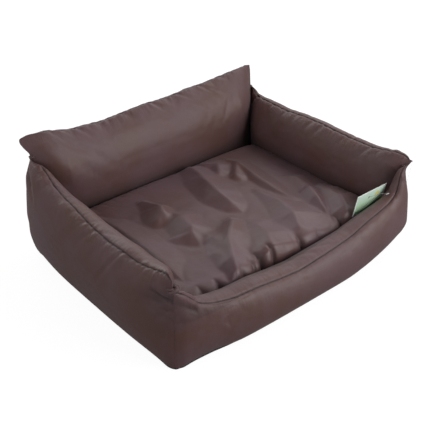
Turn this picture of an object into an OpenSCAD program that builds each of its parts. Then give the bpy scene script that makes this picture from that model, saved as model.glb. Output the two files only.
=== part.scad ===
// Sofa bed for a dog: four stuffed walls round a floor, a loose box cushion with a zipped cover,
// and a swing tag on a plastic pin.
// Frame: +X to the right along the back wall, +Y to the back, +Z up. The origin lies on the floor
// below the middle of the bed.

/* [Bed] */
// Width of the bed between the foot lines of the side walls
bed_w = 666; // [600:1:740]
// Depth of the bed between the foot lines of the front and back walls
bed_d = 530; // [480:1:600]

/* [Side walls] */
// Height of the crest at mid-length
side_h = 190; // [165:1:215]
// How much higher the crest stands at the two ends
side_rise = 20; // [5:1:35]
// Thickness from the foot line to the inner face
side_t = 56; // [44:1:66]
// How far the outer face swells past the foot line
side_belly = 18; // [8:1:24]

/* [Back wall] */
// Height of the crest at mid-length
back_h = 256; // [220:1:300]
// How much higher the crest stands at the two ends
back_rise = 10; // [2:1:25]
// Thickness from the foot line to the inner face
back_t = 56; // [44:1:66]
// How far the top leans outwards
back_lean = 10; // [0:1:14]

/* [Front wall] */
// Height of the crest at mid-length, low enough to step over
front_h = 103; // [90:1:120]
// How much higher the crest stands at the two ends
front_rise = 88; // [60:1:100]
// Thickness from the foot line to the inner face
front_t = 50; // [42:1:60]

/* [All walls] */
// How far the outer faces of the front and back walls swell past their foot lines
end_belly = 24; // [12:1:30]
// How far the inner faces swell towards the cushion
inner_belly = 5; // [2:1:8]
// Radius of the bed's corners in plan
corner_r = 28; // [20:1:34]
// How deep the top seam draws the cloth down
seam_sink = 4; // [1:0.5:6]
// Thickness of the coated cloth with its lining
cloth_t = 1; // [0.8:0.1:1.3]

/* [Base] */
// Thickness of the anti-slip cloth under the bed
base_t = 1.2; // [0.8:0.1:2]
// Thickness of the wadding in the floor
wadding_t = 6; // [4:0.5:9]
// Thickness of the cloth over the wadding
lining_t = 0.8; // [0.6:0.1:1.2]

/* [Cushion] */
// Height of the boxing strip round the cushion
strip_h = 58; // [48:1:66]
// How far the middle of the top stands above its seam
crown_h = 22; // [12:1:28]
// Space between the cushion and the walls
cushion_gap = 3; // [2:0.5:6]
// Space behind the cushion for the zip and its pull
zip_gap = 9; // [7:0.5:12]

/* [Zip] */
// How far each end of the zip stops short of the cushion's side
zip_end_gap = 74; // [50:1:110]
// Height of the slot in the boxing strip that the slider runs in
zip_slot_h = 12; // [11:0.5:14]
// Radius of each row of coil
coil_r = 1.2; // [1:0.05:1.3]
// Length of the slider
slider_l = 11; // [10:0.5:14]
// Length of the pull
pull_l = 22; // [18:1:28]

/* [Swing tag] */
// Length of the card
tag_w = 92; // [80:1:96]
// Height of the card
tag_h = 55; // [45:1:60]
// Thickness of the card
tag_t = 0.8; // [0.6:0.1:1]
// Radius of the punched hole
tag_hole_r = 2.5; // [2.4:0.1:3]
// Angle by which the card leans from upright
tag_lean = 11; // [9:1:13]
// Distance from the hole to the foot line of the right wall
tag_side_gap = 103; // [95:1:140]

/* [Hidden] */

$fn = 48;

// Colours of the cloth, the stuffing, the zip and the tag
cloth_colour = [0.32, 0.26, 0.25];
underside_colour = [0.13, 0.12, 0.12];
stuffing_colour = [0.90, 0.90, 0.87];
zip_colour = [0.20, 0.16, 0.15];
metal_colour = [0.35, 0.32, 0.30];
card_colour = [0.62, 0.76, 0.66];
pin_colour = [0.93, 0.93, 0.93];

// Clearances: between soft pieces, between the walls' stuffing and its panels, between walls at the
// mitre, and for pieces that slide or swing
soft_gap = 0.3;
stuffing_gap = 0.5;
mitre_gap = 0.2;
running_gap = 0.3;
// How far a cut runs past what it cuts
cut_over = 1;

// Wall sections: the widest part's height, and how far the foot is cut flat, as shares
belly_share = 0.4;
foot_share = 1.08;
// Roundness of a section above and below its widest part: 2 is an ellipse, and more is squarer
crest_power = 3;
back_crest_power = 2.4;
foot_power = 3.5;
// How sharply an inner face turns into the mitre, and how evenly a belly fills its wall's length
mitre_power = 4;
belly_power = 4;
// Where the top seam runs, as a share of the half thickness, outwards from the middle
side_seam_share = 0.32;
front_seam_share = 0.5;
back_seam_share = 0;
// How the crests rise to the ends
side_rise_power = 5;
back_rise_power = 4;
front_rise_power = 2.2;
// Where a wall's cloth starts at a corner, as a share of the corner's radius
end_share = 0.4;
// Counts: spans along a wall, and from the top seam down each face
wall_spans = 12;
outer_spans = 8;
inner_spans = 9;

// A wall is [length, reach from the middle, thickness, belly, height, rise, rise power,
// seam share, lean, crest power, angle about Z]
side_wall = [bed_d, bed_w / 2, side_t, side_belly, side_h, side_rise, side_rise_power,
    side_seam_share, 0, crest_power];
front_wall = [bed_w, bed_d / 2, front_t, end_belly, front_h, front_rise, front_rise_power,
    front_seam_share, 0, crest_power];
back_wall = [bed_w, bed_d / 2, back_t, end_belly, back_h, back_rise, back_rise_power,
    back_seam_share, back_lean, back_crest_power];
front_turn = 0;
right_turn = 90;
back_turn = 180;
left_turn = 270;

function wall_l(w) = w[0];
function wall_reach(w) = w[1];
function wall_t(w) = w[2];
function wall_belly(w) = w[3];
function wall_h(w) = w[4];
function wall_rise(w) = w[5];
function wall_rise_power(w) = w[6];
function wall_seam_share(w) = w[7];
function wall_lean(w) = w[8];
function wall_crest_power(w) = w[9];

function signed_pow(v, p) = sign(v) * pow(abs(v), p);
function flat(rows) = [for (row = rows) each row];

// Distance along a wall from its start, as -1 to 1
function along(w, u) = 2 * u / wall_l(w) - 1;

// Height of the crest at u
function crest(w, u) = wall_h(w) + wall_rise(w) * pow(abs(along(w, u)), wall_rise_power(w));

// The outer face's distance inwards from the foot line at u: an arc at the corner, then the belly
function corner_arc(u) = let (near = max(0, 1 - u / corner_r)) corner_r * (1 - sqrt(1 - near * near));
function face_out(w, u) = let (
        from_end = min(u, wall_l(w) - u)
    )
    corner_arc(from_end) - wall_belly(w) * (1 - pow(along(w, u), belly_power));

// The inner face's distance inwards from the foot line at u: it never passes the mitre plane
function face_in(w, u) = let (
        to_mitre = min(u, wall_l(w) - u) - mitre_gap,
        full = wall_t(w) + inner_belly * (1 - pow(along(w, u), 2))
    )
    pow(pow(to_mitre, -mitre_power) + pow(full, -mitre_power), -1 / mitre_power);

// Angle at which a section meets the floor, below the horizontal
foot_angle = asin(pow(1 / foot_share, foot_power / 2));

// Height of a section's widest part at u
function waist(w, u) = base_t + belly_share * (crest(w, u) - base_t);

// A point of a wall's section at u, drawn in by inset. angle 180 is the outer face, 0 the inner one
function section_point(w, u, angle, inset, sink) = let (
        mid = (face_in(w, u) + face_out(w, u)) / 2,
        half = (face_in(w, u) - face_out(w, u)) / 2 - inset,
        top = crest(w, u),
        waist = waist(w, u),
        upper = sin(angle) >= 0,
        power = upper ? wall_crest_power(w) : foot_power,
        z = upper
            ? waist + (top - inset - waist) * pow(sin(angle), 2 / power) - sink
            : max(base_t, waist - (waist - base_t) * foot_share * pow(-sin(angle), 2 / power)),
        lean = wall_lean(w) * pow((z - base_t) / (top - base_t), 2)
    )
    [u, mid + half * signed_pow(cos(angle), 2 / power) - lean, z];

// Angle of the top seam in a section
function seam_angle(w) = acos(-pow(wall_seam_share(w), wall_crest_power(w) / 2));

// Half sections from the outer foot up to the top seam, and from the seam down to the inner foot
function outer_line(w, u, inset) = let (start = 180 + foot_angle, end = seam_angle(w))
    [for (k = [0:outer_spans])
        section_point(w, u, start + (end - start) * k / outer_spans, inset,
            k == outer_spans ? seam_sink : 0)];
function inner_line(w, u, inset) = let (start = seam_angle(w), end = -foot_angle)
    [for (k = [0:inner_spans])
        section_point(w, u, start + (end - start) * k / inner_spans, inset,
            k == 0 ? seam_sink : 0)];

// Places along a wall, closer together at its ends
function stations(w) = let (first = end_share * corner_r)
    [for (k = [0:wall_spans])
        first + (wall_l(w) - 2 * first) * (1 - cos(180 * k / wall_spans)) / 2];

// A closed slab between two grids of points of the same size. The first grid's face is outermost
module slab(outer, inner) {
    rows = len(outer);
    cols = len(outer[0]);
    lower = rows * cols;
    function at(i, j) = i * cols + j;
    function two(a, b, c, d) = [[a, b, c], [a, c, d]];
    faces = concat(
        flat([for (i = [0:rows - 2]) for (j = [0:cols - 2])
            two(at(i, j), at(i, j + 1), at(i + 1, j + 1), at(i + 1, j))]),
        flat([for (i = [0:rows - 2]) for (j = [0:cols - 2])
            two(lower + at(i, j), lower + at(i + 1, j), lower + at(i + 1, j + 1), lower + at(i, j + 1))]),
        flat([for (i = [0:rows - 2])
            two(at(i + 1, 0), lower + at(i + 1, 0), lower + at(i, 0), at(i, 0))]),
        flat([for (i = [0:rows - 2])
            two(at(i, cols - 1), lower + at(i, cols - 1), lower + at(i + 1, cols - 1), at(i + 1, cols - 1))]),
        flat([for (j = [0:cols - 2])
            two(at(0, j), lower + at(0, j), lower + at(0, j + 1), at(0, j + 1))]),
        flat([for (j = [0:cols - 2])
            two(at(rows - 1, j + 1), lower + at(rows - 1, j + 1), lower + at(rows - 1, j), at(rows - 1, j))])
    );
    polyhedron(points = concat(flat(outer), flat(inner)), faces = faces, convexity = 4);
}

// A closed solid through rings of points
module tube(rings) {
    rows = len(rings);
    cols = len(rings[0]);
    function at(i, j) = i * cols + (j % cols);
    faces = concat(
        flat([for (i = [0:rows - 2]) for (j = [0:cols - 1])
            [[at(i, j), at(i, j + 1), at(i + 1, j + 1)], [at(i, j), at(i + 1, j + 1), at(i + 1, j)]]]),
        [for (j = [1:cols - 2]) [at(0, 0), at(0, j + 1), at(0, j)]],
        [for (j = [1:cols - 2]) [at(rows - 1, 0), at(rows - 1, j), at(rows - 1, j + 1)]]
    );
    polyhedron(points = flat(rings), faces = faces, convexity = 4);
}

// Puts a wall, drawn along X with its foot line on X, on its side of the bed
module on_side(w, turn) {
    rotate([0, 0, turn]) translate([-wall_l(w) / 2, -wall_reach(w), 0]) children();
}

// The two cloth panels of a wall and its stuffing
module outer_panel(w, turn) {
    color(cloth_colour) on_side(w, turn)
        slab([for (u = stations(w)) outer_line(w, u, 0)],
            [for (u = stations(w)) outer_line(w, u, cloth_t)]);
}

module inner_panel(w, turn) {
    color(cloth_colour) on_side(w, turn)
        slab([for (u = stations(w)) inner_line(w, u, 0)],
            [for (u = stations(w)) inner_line(w, u, cloth_t)]);
}

module wall_filling(w, turn) {
    inset = cloth_t + stuffing_gap;
    color(stuffing_colour) on_side(w, turn)
        tube([for (u = stations(w))
            concat(outer_line(w, u, inset), [for (k = [1:inner_spans]) inner_line(w, u, inset)[k]])]);
}

// Base: the underside follows the outer feet of the walls, and the floor lies between their inner faces
function foot_edge(w, turn) = [for (u = stations(w)) let (
        p = outer_line(w, u, 0)[0],
        x = p[0] - wall_l(w) / 2,
        y = p[1] - wall_reach(w)
    )
    [x * cos(turn) - y * sin(turn), x * sin(turn) + y * cos(turn)]];

wadding_z = base_t;
lining_z = wadding_z + wadding_t;
floor_z = lining_z + lining_t;

// How far a wall reaches in from its foot line at mid-length, at the floor's height
function floor_reach(w) = let (
        u = wall_l(w) / 2,
        waist = waist(w, u),
        below_share = (waist - floor_z) / ((waist - base_t) * foot_share)
    )
    (face_in(w, u) + face_out(w, u)) / 2
        + (face_in(w, u) - face_out(w, u)) / 2 * pow(1 - pow(below_share, foot_power), 1 / foot_power);

floor_w = bed_w - 2 * (floor_reach(side_wall) + soft_gap);
floor_front = -bed_d / 2 + floor_reach(front_wall) + soft_gap;
floor_back = bed_d / 2 - floor_reach(back_wall) - soft_gap;

module floor_sheet(z, t) {
    translate([-floor_w / 2, floor_front, z]) cube([floor_w, floor_back - floor_front, t]);
}

module base_panel() {
    color(underside_colour) linear_extrude(height = base_t)
        polygon(concat(foot_edge(front_wall, front_turn), foot_edge(side_wall, right_turn),
            foot_edge(back_wall, back_turn), foot_edge(side_wall, left_turn)));
}

module base_wadding() {
    color(stuffing_colour) floor_sheet(wadding_z, wadding_t);
}

module base_lining() {
    color(cloth_colour) floor_sheet(lining_z, lining_t);
}

// Corners: the bound seam where two walls are sewn together, and the knot of thread at its top
corner_end = end_share * corner_r;
corner_seam_r = cloth_t + base_t - running_gap;
corner_seam_in = corner_end - running_gap - corner_seam_r;
knot_r = 3.4;
knot_in = corner_end - running_gap - knot_r;
knot_flat_share = 0.7;

// Height of the lower of the two walls that meet at a corner
function corner_top(a) = min(crest(a, corner_end), crest(side_wall, corner_end));

module at_corners(inset) {
    for (sx = [-1, 1]) for (sy = [-1, 1])
        translate([sx * (bed_w / 2 - inset), sy * (bed_d / 2 - inset), 0])
            let ($corner_h = corner_top(sy < 0 ? front_wall : back_wall)) children();
}

module corner_seams() {
    color(cloth_colour) at_corners(corner_seam_in)
        translate([0, 0, base_t]) cylinder(r = corner_seam_r, h = $corner_h - seam_sink - base_t);
}

module corner_tacks() {
    color(zip_colour) at_corners(knot_in)
        translate([0, 0, $corner_h - seam_sink]) cylinder(r = knot_r, h = 2 * knot_r * knot_flat_share);
}

// Zip: two tapes sewn behind the slot in the boxing strip, with a row of coil on each, a slider that
// holds the rows between its two plates, and a pull whose eye passes under the slider's crown
cushion_half_w = bed_w / 2 - side_t - cushion_gap;
cushion_front = -bed_d / 2 + front_t + cushion_gap;
cushion_back = bed_d / 2 - back_t - inner_belly - zip_gap;
bottom_z = floor_z;
strip_z = bottom_z + cloth_t;
top_seam_z = strip_z + strip_h;
zip_z = strip_z + strip_h / 2;
zip_l = 2 * (cushion_half_w - zip_end_gap);
tape_t = 0.8;
tape_h = 13;
coil_split = 1.2;
stop_l = 3;
slider_h = 9;
slider_nose_r = 3.2;
slider_plate_t = 1.2;
crown_l = 7.4;
crown_t = 1.1;
pull_t = 1.2;
pull_w = 6.4;
pull_end_w = 8;
pull_rim = 1.6;
pull_grip_t = 0.4;
pull_ribs = 4;
tape_y = cushion_back - cloth_t - soft_gap - tape_t;
coil_y = tape_y + tape_t + coil_r;
coil_z = coil_split / 2 + coil_r;
inner_plate_y = tape_y - running_gap - slider_plate_t;
outer_plate_y = coil_y + coil_r + running_gap;
pull_y = outer_plate_y + slider_plate_t + running_gap + pull_t / 2;
crown_y = pull_y + pull_t / 2 + running_gap;
slider_x = zip_l / 2 - slider_l / 2 - running_gap;

module zip_tapes() {
    tape_l = zip_l + 2 * stop_l;
    color(zip_colour) for (side = [-1, 1])
        translate([-tape_l / 2, tape_y, zip_z + (side < 0 ? -coil_split / 2 - tape_h : coil_split / 2)])
            cube([tape_l, tape_t, tape_h]);
}

module zip_coils() {
    color(zip_colour) for (side = [-1, 1])
        translate([0, coil_y, zip_z + side * coil_z])
            rotate([0, 90, 0]) cylinder(r = coil_r, h = zip_l, center = true);
}

// One stop spans both rows at the left end, and each row has its own at the right end
module zip_stops() {
    stop_h = 2 * coil_r;
    color(metal_colour) {
        translate([-zip_l / 2 - stop_l, tape_y + tape_t, zip_z - coil_split / 2 - stop_h])
            cube([stop_l, stop_h, 2 * stop_h + coil_split]);
        for (side = [-1, 1])
            translate([zip_l / 2, tape_y + tape_t, zip_z + side * coil_z - stop_h / 2])
                cube([stop_l, stop_h, stop_h]);
    }
}

// Draws a flat shape in the XZ plane, t thick towards +Y from y
module upright(y, t) {
    translate([0, y + t, 0]) rotate([90, 0, 0]) linear_extrude(height = t) children();
}

// A slider's plate: wide shoulders at the front, where the rows part, and a narrower tail
module slider_plate() {
    shoulder_x = slider_l / 2 - slider_nose_r;
    tail_h = 2 * (coil_split / 2 + 2 * coil_r);
    for (side = [-1, 1])
        translate([shoulder_x, side * (slider_h / 2 - slider_nose_r)]) circle(r = slider_nose_r);
    translate([shoulder_x, -slider_h / 2 + slider_nose_r])
        square([slider_nose_r, slider_h - 2 * slider_nose_r]);
    polygon([[-slider_l / 2, -tail_h / 2], [shoulder_x, -slider_h / 2], [shoulder_x, slider_h / 2],
        [-slider_l / 2, tail_h / 2]]);
}

module zip_slider() {
    web_t = coil_split - 2 * running_gap;
    web_l = slider_l / 2;
    crown_rise = crown_y - outer_plate_y - slider_plate_t;
    color(metal_colour) translate([slider_x, 0, zip_z]) {
        upright(inner_plate_y, slider_plate_t) slider_plate();
        upright(outer_plate_y, slider_plate_t) slider_plate();
        translate([0, inner_plate_y + slider_plate_t, -web_t / 2])
            cube([web_l - crown_t, outer_plate_y - inner_plate_y - slider_plate_t, web_t]);
        translate([0, outer_plate_y + slider_plate_t, -crown_t / 2]) linear_extrude(height = crown_t)
            difference() {
                union() {
                    translate([-crown_l / 2, 0]) square([crown_l, crown_rise]);
                    for (side = [-1, 1])
                        translate([side * (crown_l / 2 - crown_t), crown_rise]) circle(r = crown_t);
                    translate([crown_t - crown_l / 2, 0]) square([crown_l - 2 * crown_t, crown_rise + crown_t]);
                }
                translate([crown_t - crown_l / 2, -cut_over]) square([crown_l - 2 * crown_t, crown_rise + cut_over]);
            }
    }
}

// The pull lies along the zip. Its eye is a window that the crown stands in
module zip_pull() {
    window_l = crown_l / 2 + running_gap;
    window_w = pull_w - 2 * pull_rim;
    grip_x = -pull_l + pull_end_w / 2;
    rib_step = (pull_l - window_l - pull_end_w) / pull_ribs;
    color(metal_colour) translate([slider_x, pull_y, zip_z]) {
        cylinder(r = pull_t / 2, h = pull_w, center = true);
        upright(-pull_t / 2, pull_t) difference() {
            union() {
                translate([-window_l - pull_rim, -pull_w / 2]) square([window_l + pull_rim, pull_w]);
                polygon([[-window_l, -pull_w / 2], [-window_l, pull_w / 2], [grip_x, pull_end_w / 2],
                    [grip_x, -pull_end_w / 2]]);
                translate([grip_x, 0]) circle(d = pull_end_w);
            }
            translate([-window_l, -window_w / 2]) square([window_l + cut_over, window_w]);
        }
        for (k = [0:pull_ribs - 1])
            translate([grip_x + k * rib_step, pull_t / 2, -pull_w / 2 + pull_rim / 2])
                cube([pull_grip_t * 2, pull_grip_t, pull_w - pull_rim]);
    }
}

// Cushion: a box cushion whose front and side edges are drawn in between its corners
cushion_half_d = (cushion_back - cushion_front) / 2;
cushion_mid_y = (cushion_back + cushion_front) / 2;
cushion_x_spans = 14;
cushion_y_spans = 12;
// How far a corner is rounded off, as a share of the cushion's half width, and how suddenly
corner_cut_share = 0.035;
corner_cut_power = 24;
crown_power = 9;
crown_round = 0.4;

// Grid lines from -1 to 1, closer together at the edges
function spread(k, n) = sin(90 * (2 * k / n - 1));

// Plan point of the cushion at (a, b), drawn in by inset
function cushion_xy(a, b, inset) = let (
        round_off = 1 - corner_cut_share * pow(abs(a * b), corner_cut_power),
        half_w = cushion_half_w - inset - inner_belly * (1 - b * b),
        half_d = cushion_half_d - inset - (b < 0 ? inner_belly * (1 - a * a) : 0)
    )
    [a * half_w * round_off, cushion_mid_y + b * half_d * round_off];

function crown(v) = pow(max(0, 1 - pow(abs(v), crown_power)), crown_round);

function cushion_grid(inset, z, rise) = [for (i = [0:cushion_x_spans])
    [for (j = [0:cushion_y_spans]) let (
            a = spread(i, cushion_x_spans),
            b = spread(j, cushion_y_spans),
            p = cushion_xy(a, b, inset)
        )
        [p[0], p[1], z + rise * crown(a) * crown(b)]]];

function cushion_outline(inset) = concat(
    [for (i = [0:cushion_x_spans - 1]) cushion_xy(spread(i, cushion_x_spans), -1, inset)],
    [for (j = [0:cushion_y_spans - 1]) cushion_xy(1, spread(j, cushion_y_spans), inset)],
    [for (i = [0:cushion_x_spans - 1]) cushion_xy(-spread(i, cushion_x_spans), 1, inset)],
    [for (j = [0:cushion_y_spans - 1]) cushion_xy(-1, -spread(j, cushion_y_spans), inset)]);

module cushion_top_panel() {
    color(cloth_colour)
        slab(cushion_grid(0, top_seam_z, crown_h), cushion_grid(cloth_t, top_seam_z, crown_h - cloth_t));
}

module cushion_boxing_strip() {
    slot_l = zip_l + 2 * (stop_l + running_gap);
    color(cloth_colour) difference() {
        translate([0, 0, strip_z]) linear_extrude(height = strip_h) difference() {
            polygon(cushion_outline(0));
            polygon(cushion_outline(cloth_t));
        }
        translate([-slot_l / 2, cushion_back - cloth_t - cut_over, zip_z - zip_slot_h / 2])
            cube([slot_l, cloth_t + 2 * cut_over, zip_slot_h]);
    }
}

module cushion_bottom_panel() {
    color(cloth_colour) translate([0, 0, bottom_z]) linear_extrude(height = cloth_t)
        polygon(cushion_outline(0));
}

// The stuffing keeps clear of the slider's inner plate
module cushion_filling() {
    inset = cushion_back - inner_plate_y + soft_gap;
    color(stuffing_colour)
        slab(cushion_grid(inset, top_seam_z, crown_h - cloth_t - soft_gap), cushion_grid(inset, strip_z, 0));
}

// Swing tag: a card that leans on the front wall's inner face near its right end. The pin's T-bar
// lies on top of the wall. Its thread runs over the wall's shoulder and through the card's hole
hole_in_share = 0.45;
hole_down = 18;
tag_x = bed_w / 2 - tag_side_gap;
thread_r = 0.35;
thread_lift = 1;
bar_l = 8;
bar_r = 0.7;
bar_x = 16;
bar_angle = 95;
shoulder_angle = 73;
paddle_r = 2;
paddle_t = 0.8;
paddle_out = 8;
thread_sides = 8;
thread_spans = 6;

// The card's lower edge stays in front of the wall and clear of the cushion's way out
tag_foot_y = cushion_front - soft_gap - tag_t / 2;
tag_lift = 6;
tag_foot_z = top_seam_z + crown_h + tag_lift;
hole_up = tag_h - hole_down;
hole = [tag_x, tag_foot_y - hole_up * sin(tag_lean), tag_foot_z + hole_up * cos(tag_lean)];

module swing_tag() {
    color(card_colour) translate(hole) rotate([tag_lean, 0, 0]) upright(-tag_t / 2, tag_t) difference() {
        translate([-tag_w * hole_in_share, -hole_up]) square([tag_w, tag_h]);
        circle(r = tag_hole_r);
    }
}

// A point above the front wall's inner panel, bar_x to the right of the hole at share 0
function over_wall(share) = let (
        x = tag_x + bar_x * (1 - share),
        angle = bar_angle + (shoulder_angle - bar_angle) * share,
        p = section_point(front_wall, x + wall_l(front_wall) / 2, angle, -thread_lift - thread_r, 0)
    )
    [p[0] - wall_l(front_wall) / 2, p[1] - wall_reach(front_wall), p[2]];

// Rings of a thread along points that bend in an upright plane
function ring(points, k) = let (
        a = points[max(0, k - 1)],
        b = points[min(len(points) - 1, k + 1)],
        d = (b - a) / norm(b - a),
        side = cross(d, [1, 0, 0]) / norm(cross(d, [1, 0, 0])),
        up = cross(side, d)
    )
    [for (i = [0:thread_sides - 1])
        points[k] + thread_r * (side * cos(360 * i / thread_sides) + up * sin(360 * i / thread_sides))];

module tag_pin() {
    run = [for (k = [0:thread_spans]) over_wall(k / thread_spans)];
    way = (hole - run[thread_spans]) / norm(hole - run[thread_spans]);
    paddle = hole + paddle_out * way;
    points = concat(run, [hole, paddle]);
    color(pin_colour) {
        tube([for (k = [0:len(points) - 1]) ring(points, k)]);
        translate(run[0]) rotate([0, 90, 0]) cylinder(r = bar_r, h = bar_l, center = true);
        translate(paddle) rotate([acos(way[2]), 0, atan2(way[1], way[0]) + 90])
            cylinder(r = paddle_r, h = paddle_t, center = true);
    }
}

base_panel();
base_wadding();
base_lining();
outer_panel(back_wall, back_turn);  // back_outer_panel
inner_panel(back_wall, back_turn);  // back_inner_panel
wall_filling(back_wall, back_turn);  // back_filling
outer_panel(side_wall, left_turn);  // left_outer_panel
inner_panel(side_wall, left_turn);  // left_inner_panel
wall_filling(side_wall, left_turn);  // left_filling
outer_panel(side_wall, right_turn);  // right_outer_panel
inner_panel(side_wall, right_turn);  // right_inner_panel
wall_filling(side_wall, right_turn);  // right_filling
outer_panel(front_wall, front_turn);  // front_outer_panel
inner_panel(front_wall, front_turn);  // front_inner_panel
wall_filling(front_wall, front_turn);  // front_filling
corner_seams();
corner_tacks();
cushion_top_panel();
cushion_boxing_strip();
cushion_bottom_panel();
cushion_filling();
zip_tapes();
zip_coils();
zip_stops();
zip_slider();
zip_pull();
tag_pin();
swing_tag();
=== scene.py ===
import math

import bpy
import numpy as np
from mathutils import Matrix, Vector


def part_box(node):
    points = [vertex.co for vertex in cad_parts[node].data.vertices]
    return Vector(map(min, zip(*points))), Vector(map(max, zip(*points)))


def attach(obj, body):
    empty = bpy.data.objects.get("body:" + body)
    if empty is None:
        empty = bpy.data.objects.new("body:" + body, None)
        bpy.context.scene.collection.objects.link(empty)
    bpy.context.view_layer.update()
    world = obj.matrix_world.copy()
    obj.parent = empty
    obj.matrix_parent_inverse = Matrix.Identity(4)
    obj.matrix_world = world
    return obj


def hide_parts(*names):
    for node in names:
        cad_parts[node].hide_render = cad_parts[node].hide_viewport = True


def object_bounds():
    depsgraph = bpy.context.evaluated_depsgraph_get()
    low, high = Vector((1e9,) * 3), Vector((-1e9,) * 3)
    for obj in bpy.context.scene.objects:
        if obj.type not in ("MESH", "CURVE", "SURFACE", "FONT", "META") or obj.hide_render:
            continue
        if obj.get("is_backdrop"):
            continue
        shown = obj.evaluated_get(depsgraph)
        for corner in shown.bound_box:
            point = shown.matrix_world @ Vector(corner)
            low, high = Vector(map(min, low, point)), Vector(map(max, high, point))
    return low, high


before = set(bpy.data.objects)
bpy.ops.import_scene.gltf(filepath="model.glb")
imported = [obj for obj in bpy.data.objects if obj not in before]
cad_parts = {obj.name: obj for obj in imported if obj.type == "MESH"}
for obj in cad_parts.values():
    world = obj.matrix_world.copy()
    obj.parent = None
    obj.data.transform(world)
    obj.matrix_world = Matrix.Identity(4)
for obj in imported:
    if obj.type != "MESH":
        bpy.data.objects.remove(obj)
cad_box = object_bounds()
scene = bpy.context.scene

# Camera, light and floor: the bed stands in an empty white studio. Five large soft lamps stand
# round it, the strongest in front on the right, and the floor keeps a faint shadow.
CAMERA_AZIMUTH = math.radians(-39.88)
CAMERA_ELEVATION = math.radians(32.385)
CAMERA_ROLL = math.radians(-0.466)
CAMERA_DISTANCE = 1.78743
CAMERA_TARGET = np.array([-0.0057, 0.0058, 0.0720])
FOCAL_LENGTH_PX = 814.9
IMAGE_SIDE_PX = 433
SENSOR_MM = 36.0
LAMP_TARGET = (0.0, 0.0, 0.1)
# Each lamp's name, place, side and watts
LAMPS = [
    ("front_lamp", (0.900, -1.800, 0.900), 1.3, 34),
    ("right_lamp", (1.567, 0.220, 1.528), 1.3, 15),
    ("back_right_lamp", (1.225, 1.459, 1.100), 1.3, 5),
    ("back_lamp", (0.0, 2.040, 0.860), 1.5, 23),
    ("left_lamp", (-1.970, -0.100, 0.980), 1.5, 15),
]


def look_at(place, target, roll=0.0):
    """A turn, as XYZ angles, that points an object's -Z axis from place at target, with +Y up."""
    back = np.array(place) - np.array(target)
    back = back / np.linalg.norm(back)
    right = np.cross([0.0, 0.0, 1.0], back)
    right = right / np.linalg.norm(right)
    up = np.cross(back, right)
    right, up = (
        right * math.cos(roll) + up * math.sin(roll),
        up * math.cos(roll) - right * math.sin(roll),
    )
    axes = np.array([right, up, back]).T
    return (
        math.atan2(axes[2, 1], axes[2, 2]),
        -math.asin(axes[2, 0]),
        math.atan2(axes[1, 0], axes[0, 0]),
    )


camera_place = CAMERA_TARGET + CAMERA_DISTANCE * np.array(
    [
        math.sin(CAMERA_AZIMUTH) * math.cos(CAMERA_ELEVATION),
        -math.cos(CAMERA_AZIMUTH) * math.cos(CAMERA_ELEVATION),
        math.sin(CAMERA_ELEVATION),
    ]
)
camera = bpy.data.objects.new("camera", bpy.data.cameras.new("camera"))
camera.data.sensor_width = SENSOR_MM
camera.data.lens = FOCAL_LENGTH_PX * SENSOR_MM / IMAGE_SIDE_PX
camera.location = camera_place
camera.rotation_euler = look_at(camera_place, CAMERA_TARGET, CAMERA_ROLL)
scene.collection.objects.link(camera)
scene.camera = camera
scene.view_settings.view_transform = "Standard"


def soft_lamp(name, place, side, watts):
    """A square area lamp at place, aimed at the middle of the bed."""
    lamp = bpy.data.objects.new(name, bpy.data.lights.new(name, "AREA"))
    lamp.data.shape = "SQUARE"
    lamp.data.size = side
    lamp.data.energy = watts
    lamp.location = place
    lamp.rotation_euler = look_at(place, LAMP_TARGET)
    scene.collection.objects.link(lamp)


for lamp in LAMPS:
    soft_lamp(*lamp)


class Value:
    """A value in a node tree. Sums on it add Math nodes, and node() adds any other node."""

    def __init__(self, tree, socket=None):
        self.tree = tree
        self.socket = socket

    def node(self, kind, settings=None, inputs=None, out=0):
        """Adds a node, sets its settings and then its sockets, and returns one of its outputs."""
        made = self.tree.nodes.new(kind)
        for key, value in (settings or {}).items():
            setattr(made, key, value)
        for key, value in (inputs or {}).items():
            if isinstance(value, Value):
                self.tree.links.new(value.socket, made.inputs[key])
            else:
                made.inputs[key].default_value = value
        return Value(self.tree, made.outputs[out] if made.outputs else None)

    def math(self, operation, *values):
        """A Math node on these values."""
        return self.node("ShaderNodeMath", {"operation": operation}, dict(enumerate(values)))

    def __add__(self, other):
        return self.math("ADD", self, other)

    def __sub__(self, other):
        return self.math("SUBTRACT", self, other)

    def __mul__(self, other):
        return self.math("MULTIPLY", self, other)

    def __truediv__(self, other):
        return self.math("DIVIDE", self, other)

    def __pow__(self, other):
        return self.math("POWER", self, other)

    def __rsub__(self, other):
        return self.math("SUBTRACT", other, self)

    __radd__ = __add__
    __rmul__ = __mul__


AMBIENT = (0.125, 0.12, 0.125, 1.0)
WHITE = (1.0, 1.0, 1.0, 1.0)
GLOSS_SHARE = 0.15


def studio_ray(v):
    """How far a ray shows the white studio: wholly to the camera and through what is clear, and
    by GLOSS_SHARE in a reflection."""
    ray = {
        kind: v.node("ShaderNodeLightPath", out="Is " + kind + " Ray")
        for kind in ("Camera", "Glossy", "Transmission")
    }
    seen = v.math("MAXIMUM", ray["Camera"], ray["Glossy"] * GLOSS_SHARE)
    return v.math("MAXIMUM", seen, ray["Transmission"])


world = bpy.data.worlds.new("studio")
world.use_nodes = True
scene.world = world
world.node_tree.nodes.clear()
air = Value(world.node_tree)
plain = air.node("ShaderNodeBackground", inputs={"Color": AMBIENT, "Strength": 1.0})
white = air.node("ShaderNodeBackground", inputs={"Color": WHITE, "Strength": 1.0})
sky = air.node("ShaderNodeMixShader", inputs={0: studio_ray(air), 1: plain, 2: white})
air.node("ShaderNodeOutputWorld", inputs={"Surface": sky})

FLOOR_SIDE = 12.0
FLOOR_WHITE = (0.13, 0.13, 0.13, 1.0)
FLOOR_GLOW = 0.93


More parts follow.
